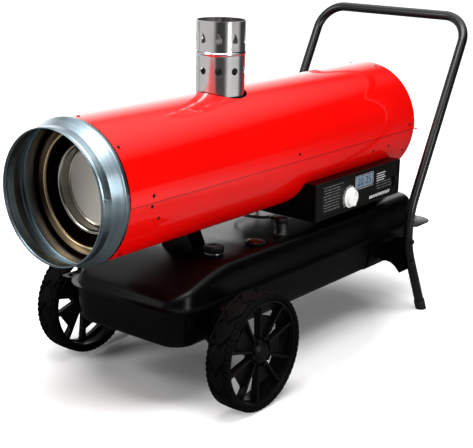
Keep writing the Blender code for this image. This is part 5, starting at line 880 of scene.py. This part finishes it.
def fitting(name, fit, parts, paint, body="heater", hides=None):
    finishPiece(name, [put(part, fit["place"]) for part in parts], paint, body, hides)


def makeFittings():
    c = fuelCap
    fitting("filler_neck_turned", c, [lathe(c["neck"], 0.0006, 48, 2, True)], "zinc",
            hides="filler_neck")
    cap = lathe(c["line"], 0.0012, 224, 4, ribs=c["ribs"])
    fitting("fuel_cap_moulded", c, [cap, plug(*c["lining"], 48)], "plastic", "cap", "fuel_cap")

    g = gauge
    case = [lathe(g["case"], 0.0007, 64), sweep(g["pin"], g["pinRadius"], 12)]
    fitting("fuel_gauge_case", g, case, "plastic", hides="fuel_gauge_body")
    marks = [ringPart(*g["ring"], *g["print"], 64)]
    for i in range(g["ticks"]):
        start = g["tickStarts"][i % len(g["tickStarts"])]
        outline = roundRect((start, -g["tickHalf"]), (g["tickEnd"], g["tickHalf"]), 0.0002, 2)
        angle = math.radians(30 + g["tickAngle"] * i)
        marks.append(spun(slab(outline, *g["print"], 0.00005, 1), angle))
    fitting("gauge_dial_print", g, marks, "print")
    fitting("gauge_lens_domed", g, [lathe(g["lens"], 0.002, 64, 4)], "lens",
            hides="fuel_gauge_lens")

    f = fuelFilter
    fitting("filter_bowl_clear", f, [lathe(f["bowl"], 0.0012, 64, 4)], "bowl",
            hides="fuel_filter_bowl")
    spout = sweep(smoothPath(f["spout"], 4), hose["radius"], hose["sides"])
    fitting("filter_head_moulded", f, [lathe(f["head"], 0.001, 192, ribs=f["flutes"]), spout],
            "plastic", hides="fuel_filter_head")


def makeHoses():
    for name, route in routes.items():
        path = smoothPath(route, 10)
        clips = [sweep([path[spot - 1], path[spot + 1]], hose["clip"], hose["sides"])
                 for spot in (hose["clipFromEnd"], len(path) - 1 - hose["clipFromEnd"])]
        finishPiece(name + "_hose_smooth", [sweep(path, hose["radius"], hose["sides"])], "hose",
                    hides=name + "_hose")
        finishPiece(name + "_hose_clips", clips, "zinc")


makeTank()
print("tank made")
makeFittings()
makeHoses()
print("fittings made")


# Control panel, read from the front (towards +Y is to the right); a spot is y, z, width, height
panel = {"front": 0.0449, "length": 0.417, "bottom": 0.349, "height": 0.099, "back": 0.174,
         "face": 0.180, "field": 0.1782, "ink": 0.1783, "left": 0.024, "right": 0.008,
         "top": 0.009, "foot": 0.008, "knob": (0.2049, 0.386), "filmInset": 0.0015,
         "window": (0.2769, 0.418, 0.084, 0.032), "switch": (0.4384, 0.389, 0.021, 0.030),
         "frame": (0.0030, 0.0007, 0.00035),
         "digitSize": 0.030, "wordSize": 0.0065,
         "words": (("switch_on", "ON", 0.4384, 0.4095), ("switch_off", "OFF", 0.4384, 0.3685),
                   ("dial_5", "5", 0.1664, 0.3635), ("dial_35", "35", 0.2434, 0.3635))}
dial = {"start": -45, "stop": 225, "ticks": 11, "reach": 0.0302, "half": 0.0004,
        "sizes": (0.0046, 0.0030, 0.0030, 0.0030, 0.0030), "arc": (0.0310, 0.0300, 55)}
bars = {"count": 4, "left": 0.340, "right": 0.386, "short": 0.006, "top": 0.424, "height": 0.0018,
        "pitch": 0.0065}
stripe = {"count": 12, "start": 0.305, "pitch": 0.009, "width": 0.0045, "slant": 0.005,
          "bottom": 0.361, "top": 0.3695}
dash = {"blocks": ((0.080, 0.170, 0.432, 9), (0.338, 0.410, 0.398, 3)), "pitch": 0.0078,
        "indent": 0.003, "shorter": 0.008, "length": 0.006, "step": 0.004, "space": 0.0025,
        "height": 0.0011, "clearY": 0.045, "clearZ": 0.040}


def around(spot, grow, corner, steps):
    y, z, width, rise = spot
    return roundRect((y - width / 2 - grow, z - rise / 2 - grow),
                     (y + width / 2 + grow, z + rise / 2 + grow), corner, steps)


def mark(outline, height=0.0003, edge=0.00005):
    return slab(outline, 0.0, height, edge, 1)


def printed(name, parts, paint="print"):
    return finishPiece(name, [facingX(part, panel["ink"]) for part in parts], paint)


def makeCover():
    p = panel
    low, high = (p["front"], p["bottom"]), (p["front"] + p["length"], p["bottom"] + p["height"])
    plate = slab(roundRect(low, high, 0.006), p["back"], p["face"], 0.0012, 3)
    cover = finishPiece("control_panel_bezel", [facingX(plate)], "plastic",
                        hides="control_panel")
    left, right = low[0] + p["left"], high[0] - p["right"]
    foot, top = low[1] + p["foot"], high[1] - p["top"]
    over, field, inset = p["face"] + 0.004, p["field"], p["filmInset"]
    carve(cover, [facingX(punch(roundRect((left, foot), (right, top), 0.002, 4), field, over))])
    for spot in (p["window"], p["switch"]):
        carve(cover, [facingX(punch(around(spot, gap, 0.0006, 2), p["back"] - 0.004, over))])
    film = slab(roundRect((left + inset, foot + inset), (right - inset, top - inset), inset, 4),
                field - 0.0002, field + 0.0002, 0.0001, 1)
    label = finishPiece("panel_label_film", [facingX(film)], "label")
    for spot in (p["window"], p["switch"]):
        carve(label, [facingX(punch(around(spot, 0.0005, 0.0006, 2), field - 0.003,
                                    field + 0.003))])
    glass = slab(around(p["window"], 0.0, 0.0008, 3), p["back"], field, 0.0004, 2)
    finishPiece("display_window_film", [facingX(glass)], "display", hides="display_window")
    letters("display_digits", "20 25", p["digitSize"], (p["ink"],) + p["window"][:2], "digits")


def dialMarks():
    knobY, knobZ = panel["knob"]
    low, high = panel["bottom"] + panel["foot"], panel["bottom"] + panel["height"] - panel["top"]
    outer, inner, steps = dial["arc"]
    sector = arc((0, 0), outer, dial["start"], dial["stop"], steps)
    sector += arc((0, 0), inner, dial["stop"], dial["start"], steps)
    marks = [put(mark(sector, edge=0.00004), (knobY, knobZ, 0.0))]
    angles = np.radians(np.linspace(dial["start"], dial["stop"], dial["ticks"]))
    for i, angle in enumerate(angles):
        reach, half, size = dial["reach"], dial["half"], dial["sizes"][i % len(dial["sizes"])]
        outline = [(reach, -half), (reach + size, -half), (reach + size, half), (reach, half)]
        tick = put(mark(outline), (knobY, knobZ, 0.0), "z", angle)
        if tick[0][:, 1].max() < high and tick[0][:, 1].min() > low:
            marks.append(tick)
    return marks


def smallPrint():
    # dashes stand for lines of small text; none lies under the dial or over the lower edge
    d, (knobY, knobZ) = dash, panel["knob"]
    dashes = []
    for start, stop, top, rows in d["blocks"]:
        for row in range(rows):
            at, z = start + d["indent"] * (row % 3), top - d["pitch"] * row
            while at < stop - d["shorter"] * (row % 2):
                length = d["length"] + d["step"] * ((row * 3 + len(dashes)) % 4)
                near = abs(at + length / 2 - knobY) < d["clearY"] and abs(z - knobZ) < d["clearZ"]
                if not near and z > panel["bottom"] + panel["foot"] + 0.003:
                    outline = roundRect((at, z), (at + length, z + d["height"]), 0.0004, 1)
                    dashes.append(mark(outline, 0.0002, 0.00004))
                at += length + d["space"]
    return dashes


def makePanel():
    makeCover()
    grow, width, rise = panel["frame"]
    outer = around(panel["window"], grow, 0.002, 4)
    rings = np.array([level(insetOutline(outer, step), height)
                      for step, height in ((0, 0.0), (0, rise), (width, rise), (width, 0.0))])
    marks = [gridPart(rings, closeU=True, closeV=True)] + dialMarks()
    for row in range(bars["count"]):
        foot = bars["top"] - bars["pitch"] * row
        right = bars["right"] - bars["short"] * (row % 2)
        bar = roundRect((bars["left"], foot), (right, foot + bars["height"]), 0.0006, 2)
        marks.append(mark(bar))
    printed("panel_print", marks)
    printed("panel_small_print", smallPrint(), "smallPrint")
    s = stripe
    starts = [s["start"] + s["pitch"] * i for i in range(s["count"])]
    printed("panel_stripes", [mark([(y, s["bottom"]), (y + s["width"], s["bottom"]),
                                    (y + s["width"] + s["slant"], s["top"]),
                                    (y + s["slant"], s["top"])]) for y in starts])
    for name, words, y, z in panel["words"]:
        letters(name, words, panel["wordSize"], (panel["ink"], y, z), "print")


knob = {"lift": 0.0012, "ribs": (36, 0.0005, 0.0270, 1), "grip": (0.005, 0.021, 0.004, 0.019),
        "line": ((0.0, -0.0174), (0.003, -0.0174), (0.003, 0.0), (0.028, 0.0), (0.028, 0.0035),
                 (0.0236, 0.005), (0.0222, 0.0133), (0.0, 0.0133)),
        "mark": ((-0.0009, 0.008), (0.0009, 0.020)), "markLift": 0.0189}


def makeKnob():
    place, base = (0,) + panel["knob"], panel["field"] + knob["lift"]
    skirt = lathe(knob["line"], 0.0014, 216, 4, ribs=knob["ribs"])
    skirt = put(skirt, (base,) + panel["knob"], "x")
    half, reach, low, high = knob["grip"]
    grip = slab(roundRect((-half, -reach), (half, reach), 0.0045), low, high, 0.0018, 4)
    finishPiece("thermostat_knob_moulded", [skirt, put(facingX(grip, base), place)], "white",
                body="knob", hides="thermostat_knob")
    pointer = mark(roundRect(*knob["mark"], 0.0006, 3), edge=0.0001)
    finishPiece("knob_pointer_mark", [put(facingX(pointer, base + knob["markLift"]), place)],
                "digits", body="knob")


makePanel()
makeKnob()
print("panel made")


# Handle frame: corners of the right half, then mirrored; cap rows are (radius, distance up the
# leg), and its last two rows are cut level at these heights above the floor
handle = {"x": 0.247, "radius": 0.0133, "foot": (0.5172, 0.0), "knee": (0.3891, 0.2623),
          "grip": (0.6856, 0.832), "bends": (0.200, 0.075, 0.075, 0.200), "sole": 0.0113,
          "sides": 40,
          "capRows": ((0.0138, 0.011), (0.0138, 0.034), (0.0146, 0.0345), (0.0154, 0.0335),
                      (0.0154, 0.010)), "capFoot": ((0.0154, 0.0015), (0.0146, 0.0))}


def bentPath(corners, radii, steps):
    # straight runs joined by arcs: centre = corner + bisector * r / sin(half angle)
    points = [Vector(corners[0])]
    for before, corner, after, radius in zip(corners, corners[1:], corners[2:], radii):
        back, ahead = (before - corner).normalized(), (after - corner).normalized()
        half = back.angle(ahead) / 2
        centre = corner + (back + ahead).normalized() * (radius / math.sin(half))
        start = corner + back * (radius / math.tan(half)) - centre
        stop = corner + ahead * (radius / math.tan(half)) - centre
        whole = math.pi - 2 * half
        for share in np.linspace(0, 1, steps + 1):
            points.append(centre + (start * math.sin((1 - share) * whole)
                                    + stop * math.sin(share * whole)) / math.sin(whole))
    return points + [Vector(corners[-1])]


def makeHandle():
    h = handle
    foot, knee, grip = (Vector((h["x"],) + h[key]) for key in ("foot", "knee", "grip"))
    leg = (knee - foot).normalized()
    start, flip = foot + leg * h["sole"], Vector((-1, 1, 1))
    corners = [start, knee, grip, grip * flip, knee * flip, start * flip]
    path = bentPath(corners, h["bends"], 20)
    finishPiece("handle_tube", [sweep(path, h["radius"], h["sides"])], "tube",
                hides="handle_frame")

    side = Vector((1, 0, 0))
    other = leg.cross(side).normalized()
    circle = [side * x + other * y for x, y in polygon(h["sides"], 1.0)]
    rings = [[foot + way * reach + leg * along for way in circle] for reach, along in h["capRows"]]
    for reach, height in h["capFoot"]:
        ring = [foot + way * reach for way in circle]
        rings.append([point - leg * ((point.z - height) / leg.z) for point in ring])
    cup = gridPart(np.array(rings), closeV=True, caps=True)
    for name, part in (("foot_cap_right", cup), ("foot_cap_left", mirrorX(cup))):
        finishPiece(name + "_moulded", [part], "hose", hides=name)


# Bolts and rivets: head maker, paint, radius, height, and places with the way each one faces
boltSets = {
    "handle_bolts": (hexBolt, "tube", 0.0062, 0.0050, (
        ((0.2602, 0.4145, 0.2294), "x"), ((-0.2602, 0.4145, 0.2294), "-x"),
        ((0.2602, 0.4229, 0.1624), "x"), ((-0.2602, 0.4229, 0.1624), "-x"))),
    "bracket_bolts": (hexBolt, "screw", 0.0055, 0.0040, (
        ((0.2250, -0.3880, 0.2456), "z"), ((-0.2120, -0.4440, 0.2456), "z"))),
    "tank_rivets": (rivetHead, "black", 0.0040, 0.0022, (((0.1962, -0.1439, 0.2369), "x"),)),
}


def makeBolts():
    for name, (makeHead, paint, radius, height, places) in boltSets.items():
        heads = [put(makeHead(radius, height), place, way) for place, way in places]
        finishPiece(name, heads, paint)


makeHandle()
makeBolts()
print("handle and bolts made")


# Wheels, drawn with the axle along local z and the outer face at +z
tyre = {"steps": 840, "rows": 48, "groove": 0.0055, "crown": 0.0012,
        "half": 0.0290, "blocks": 15, "notches": 60, "edge": 0.80, "slant": 0.62, "cross": 0.50,
        "side": ((0.1398, 0.0292), (0.1380, 0.0310), (0.1335, 0.0322), (0.1300, 0.0320),
                 (0.1285, 0.0305), (0.1270, 0.0300), (0.1262, 0.0284))}
rim = {"seat": 0.1255, "wall": 0.005, "half": 0.028, "web": (0.0035, 0.0085), "boss": 0.018,
       "hubIn": -0.030, "hub": 0.036, "hubWall": 0.005, "hubOut": 0.0255, "floor": 0.0145,
       "bore": 0.0074, "turn": 16.5, "spokes": 5, "rib": 0.009, "notches": 10,
       "notch": (0.009, 0.006),
       "ribEnds": ((0.0320, 0.0125, 0.019), (0.1140, 0.0445, 0.0235)),
       "window": (0.041, 8.0, 0.1165, 12.0), "slot": (0.086, 0.109, 0.028, 0.036),
       "cap": 0.027, "capHeight": 0.015}


def tyrePart():
    # tread height = R - groove: slanted bars and cross bars, a ring groove, notched shoulders
    t = tyre
    angle = wholeTurn(t["steps"])
    turn, w = np.meshgrid(angle / (2 * math.pi), np.linspace(-1, 1, t["rows"]), indexing="ij")
    out = np.abs(w)
    slant = np.abs((turn * t["blocks"] + t["slant"] * out) % 1 - 0.5)
    cross = np.abs((turn * t["blocks"] - t["cross"] * out + 0.4) % 1 - 0.5)
    slanted = np.clip((0.15 - slant) / 0.05, 0, 1)
    crossed = np.clip((0.09 - cross) / 0.05, 0, 1) * (out > 0.38)
    bar = np.maximum(slanted, crossed) * (out < t["edge"])
    band = np.clip((0.035 - np.abs(out - t["edge"])) / 0.02, 0, 1) * 0.6
    notch = np.clip(np.sin(2 * math.pi * t["notches"] * turn) - 0.1, 0, 1) * (out > 0.93) * 0.75
    depth = np.maximum(np.maximum(bar, band), notch) * t["groove"] + t["crown"] * w ** 2
    tread = np.stack([wheel["radius"] - depth, w * t["half"]], -1)
    wall = rounded(t["side"], 0.002, 2)
    outer = np.broadcast_to(wall, (t["steps"],) + wall.shape).copy()
    outer[:, :4, 0] -= notch[:, -1:] * t["groove"] * np.linspace(0.9, 0.2, 4)
    inner = (outer * np.array([1, -1]))[:, ::-1]
    section = np.concatenate([inner, tread, outer], axis=1)
    points = np.stack([section[..., 0] * np.cos(angle)[:, None],
                       section[..., 0] * np.sin(angle)[:, None], section[..., 1]], -1)
    return gridPart(points, closeU=True, closeV=True)


def ribPart(way, base, spoke):
    # blade from hub to rim with a rounded upper edge
    rows = []
    half = rim["rib"] / 2
    (r0, s0, h0), (r1, s1, h1) = rim["ribEnds"]
    for share in np.linspace(0, 1, 9):
        reach, middle = r0 + share * (r1 - r0), way * (s0 + share * (s1 - s0))
        rise = h0 + (h1 - h0) * share ** 2
        section = rounded([(middle - half, base), (middle + half, base),
                           (middle + half * 0.8, rise), (middle - half * 0.8, rise)], 0.0012,
                          closed=True)
        rows.append([(reach, s, h) for s, h in section])
    return spun(gridPart(np.array(rows), closeV=True, caps=True), spoke)


def rimPieces():
    r = rim
    low, high = r["web"]
    bore, ring = r["seat"] - r["wall"], r["hub"] - r["hubWall"]
    barrel = ringPart(bore, r["seat"], -r["half"], r["half"], 160, 0.0015)
    boss = ringPart(r["bore"], r["boss"], r["hubIn"], high, 96, 0.0012)
    disc = lathe([(r["bore"], low), (bore + 0.001, low), (bore + 0.001, high), (r["hub"], high),
                  (r["hub"], r["hubOut"]), (ring, r["hubOut"]), (ring, r["floor"]),
                  (r["bore"], r["floor"])], 0.0012, 160, closed=True)
    root, rootHalf, tip, tipHalf = r["window"]
    window = arc((0, 0), root, rootHalf, -rootHalf, 2) + arc((0, 0), tip, -tipHalf, tipHalf, 7)
    start, stop, near, far = r["slot"]
    slot = [(start, -near), (stop, -far), (stop, far), (start, near)]
    window, slot = (punch(rounded(line, size, closed=True), -0.01, 0.02)
                    for line, size in ((window, 0.003), (slot, 0.004)))
    width, deep = r["notch"]
    notch = punch([(r["boss"], -width / 2), (r["hub"] + 0.002, -width / 2),
                   (r["hub"] + 0.002, width / 2), (r["boss"], width / 2)], r["hubOut"] - deep,
                  r["hubOut"] + 0.002)
    cutters = [spun(notch, angle) for angle in wholeTurn(r["notches"])]
    ribs = []
    for spoke in math.radians(r["turn"]) + wholeTurn(r["spokes"]):
        cutters += [spun(window, spoke + math.pi / r["spokes"]), spun(slot, spoke)]
        ribs += [ribPart(way, high - 0.002, spoke) for way in (-1, 1)]
    return [barrel, boss] + ribs, disc, cutters


def hubCapPart():
    seat, reach, rise = rim["floor"] + gap, rim["cap"], rim["capHeight"]
    top, dent = seat + rise, seat + rise - 0.0012
    return lathe([(0.0, seat), (reach, seat), (reach, seat + rise / 2), (reach * 0.6, top),
                  (reach * 0.3, top), (reach * 0.25, dent), (0.0, dent)], 0.0015, 80)


def makeWheels():
    # CAD turns: right wheel z to +X and x to -Z; left wheel z to -X and x to +Z
    solids, disc, cutters = rimPieces()
    tread, cap = tyrePart(), hubCapPart()
    for side, x, way in (("right", wheel["x"], "x"), ("left", -wheel["x"], "-x")):
        body, hub = "wheel_" + side, (x, wheel["y"], wheel["radius"])
        finishPiece("tyre_" + side + "_treaded", [put(tread, hub, way)], "tread", body=body,
                    hides="tyre_" + side, sharp=40)
        finishPiece("rim_" + side + "_spokes", [put(part, hub, way) for part in solids],
                    "rimPlastic", body=body, hides="rim_" + side)
        web = finishPiece("rim_" + side + "_web", [put(disc, hub, way)], "rimPlastic", body=body)
        carve(web, [put(part, hub, way) for part in cutters])
        finishPiece("hub_cap_" + side + "_moulded", [put(cap, hub, way)], "rimPlastic",
                    body=body, hides="hub_cap_" + side)


makeWheels()
print("wheels made")


# Rear guard of rings and spokes
guard = {"y": 0.5404, "dish": 0.009, "radius": 0.162, "rings": 9, "spokes": 8, "wire": 0.0014,
         "lift": 0.0016, "eye": 0.020, "spokeStart": 0.004, "under": 0.0008, "boss": 0.019,
         "bossHeight": 0.0022, "bossSink": 0.0010}


def makeGuard():
    # each wire stands at dish * (1 - (r / R)^2) behind the rim plane
    g = guard
    centre = np.array((0, g["y"] + g["lift"], casing["axisZ"]))
    edge = g["radius"] - g["lift"]

    def wire(reach, angle, under=0.0):
        depth = g["dish"] * (1 - (reach / g["radius"]) ** 2) - under
        points = np.stack(np.broadcast_arrays(reach * np.cos(angle), depth,
                                              reach * np.sin(angle)), -1)
        return sweep(points + centre, g["wire"], 10)

    circle = np.linspace(0, 2 * math.pi, 97)
    parts = [wire(reach, circle) for reach in np.linspace(g["eye"], edge, g["rings"])]
    spoke = np.linspace(g["spokeStart"], edge, 12)
    parts += [wire(spoke, angle, g["under"]) for angle in wholeTurn(g["spokes"])]
    boss = lathe([(0, 0.0), (g["boss"], 0.0), (g["boss"], g["bossHeight"]),
                  (0, g["bossHeight"])], 0.0008, 48)
    parts.append(put(boss, (0, g["y"] + g["dish"] - g["bossSink"], casing["axisZ"]), "y"))
    finishPiece("fan_guard_wires", parts, "black", hides="fan_guard")


makeGuard()
print("guard made")

# Materials of the CAD nodes that stay
keptPaints = {
    "black": ("control_box", "front_saddle", "rear_saddle", "axle_bracket", "rear_bracket",
              "wheel_axle"),
    "stainless": ("blast_tube", "crossover_duct", "flame_diffuser"),
    "zinc": ("motor_spider", "motor_shaft", "drain_plug", "fuel_gauge_float"),
    "cast": ("burner_plate", "fuel_pump", "fan_motor"),
    "brass": ("fuel_nozzle", "nozzle_line", "filler_strainer"),
    "plastic": ("flame_photocell", "fan_impeller", "overheat_thermostat", "cable_gland",
                "room_thermostat", "switch_housing", "power_switch", "ignition_transformer"),
    "redPlastic": ("fuel_gauge_pointer",),
    "board": ("control_board",),
    "ceramic": ("ignition_electrodes", "run_capacitor"),
}
for paint, names in keptPaints.items():
    for name in names:
        for slot in nodes[name].material_slots:
            slot.material = paints[paint]
print("kept nodes painted")


# Stage: floor, world and soft lamps; a side is a direction and where its range starts and ends
floor = {"half": 14.0, "colour": "#f4f4f4", "inShine": "#858585", "rough": 0.9, "specular": 0.1,
         "shadowOval": (1.6, 1.0, 1.0), "shadowRange": (0.46, 0.88), "shineRange": (0.9, 1.6),
         "shine": 0.75,
         "darkSides": (((0.615, -0.788, 0.0), 0.95, 0.82), ((0.05, 1.0, 0.0), 0.85, 0.62))}
world = {"light": 0.13, "backdrop": 1.0, "ceiling": (0.0, 2.6, 0.50, 0.85),
         "wallSide": (-0.75, 0.66, 0.05), "wall": (0.0, 2.6, 0.80, 0.97),
         "frontSide": (-0.62, -0.78, 0.1), "front": (0.03, 0.7, 0.35, 0.85)}
lamps = {"top_softbox": ((0.5, -0.5, 2.5), (0, 0, 0.5), (2.0, 1.0), 62.0),
         "left_softbox": ((-1.3, -2.6, 2.1), (0, -0.2, 0.5), (0.9, 1.6), 40.0),
         "right_softbox": ((2.9, -0.6, 1.3), (0, 0, 0.45), (0.8, 1.4), 39.0)}


def white(tree, kind, strength):
    return addNode(tree, kind, None, Color=(1, 1, 1, 1), Strength=strength).outputs[0]


def mixShaders(tree, factor, first, second):
    return addNode(tree, "MixShader", None, Fac=factor, i1=first, i2=second).outputs[0]


def makeFloor():
    f = floor
    material, tree, shader = newMaterial("pale_studio_floor")
    shader.inputs["Roughness"].default_value = f["rough"]
    shader.inputs["Specular IOR Level"].default_value = f["specular"]
    rays = addNode(tree, "LightPath").outputs
    tree.links.new(mixColour(tree, rays["Is Glossy Ray"], srgb(f["colour"]), srgb(f["inShine"])),
                   shader.inputs["Base Color"])
    axes = addNode(tree, "SeparateXYZ", None, Vector=addNode(tree, "TexCoord").outputs["Object"])
    span = addNode(tree, "CombineXYZ", None, X=axes.outputs[0], Y=axes.outputs[1]).outputs[0]
    # glow seen by the camera alone: weak under the heater, where shadows lie, full far away
    oval = vectorMath(tree, "LENGTH", vectorMath(tree, "MULTIPLY", span, f["shadowOval"]))
    glow = spread(tree, oval, 0.0, 1.0, *f["shadowRange"])
    # in reflections it stays dark towards the camera and straight behind the heater
    faint = spread(tree, vectorMath(tree, "LENGTH", span), 0.0, f["shine"], *f["shineRange"])
    way = vectorMath(tree, "NORMALIZE", span)
    for side, near, far in f["darkSides"]:
        clear = spread(tree, vectorMath(tree, "DOT_PRODUCT", way, side), 0.0, 1.0, near, far)
        faint = maths(tree, "MULTIPLY", faint, clear)
    shine = maths(tree, "MULTIPLY", faint, rays["Is Glossy Ray"])
    seen = mixShaders(tree, rays["Is Camera Ray"], white(tree, "Emission", shine),
                      white(tree, "Emission", glow))
    both = addNode(tree, "AddShader", None, i0=shader.outputs[0], i1=seen)
    tree.links.new(both.outputs[0], tree.nodes["Material Output"].inputs["Surface"])
    data = bpy.data.meshes.new("studio_floor")
    corners = [(x * f["half"], y * f["half"], 0) for x, y in ((-1, -1), (1, -1), (1, 1), (-1, 1))]
    data.from_pydata(corners, [], [(0, 1, 2, 3)])
    data.materials.append(material)
    addObject("studio_floor", data)


def makeWorld():
    data = bpy.data.worlds.new("studio")
    data.use_nodes = True
    bpy.context.scene.world = data
    tree = data.node_tree
    rays = addNode(tree, "LightPath").outputs
    # reflections see a dark studio with a bright ceiling, a bright wall behind and a front wall
    way = addNode(tree, "TexCoord").outputs["Generated"]
    height = addNode(tree, "SeparateXYZ", None, Vector=way).outputs[2]
    lift = spread(tree, height, *world["ceiling"])
    for side in ("wall", "front"):
        facing = vectorMath(tree, "DOT_PRODUCT", way, world[side + "Side"])
        lift = maths(tree, "MAXIMUM", lift, spread(tree, facing, *world[side]))
    lit = mixShaders(tree, rays["Is Glossy Ray"], white(tree, "Background", world["light"]),
                     white(tree, "Background", lift))
    direct = maths(tree, "MAXIMUM", rays["Is Camera Ray"], rays["Is Transmission Ray"])
    seen = mixShaders(tree, direct, lit, white(tree, "Background", world["backdrop"]))
    tree.links.new(seen, tree.nodes["World Output"].inputs["Surface"])


def makeLamps():
    for name, (place, aim, size, power) in lamps.items():
        data = bpy.data.lights.new(name, "AREA")
        data.shape, (data.size, data.size_y), data.energy = "RECTANGLE", size, power
        lamp = addObject(name, data)
        lamp.location = place
        lamp.rotation_euler = (Vector(aim) - Vector(place)).to_track_quat("-Z", "Y").to_euler()


makeFloor()
makeWorld()
makeLamps()
bpy.context.scene.view_settings.view_transform = "Standard"
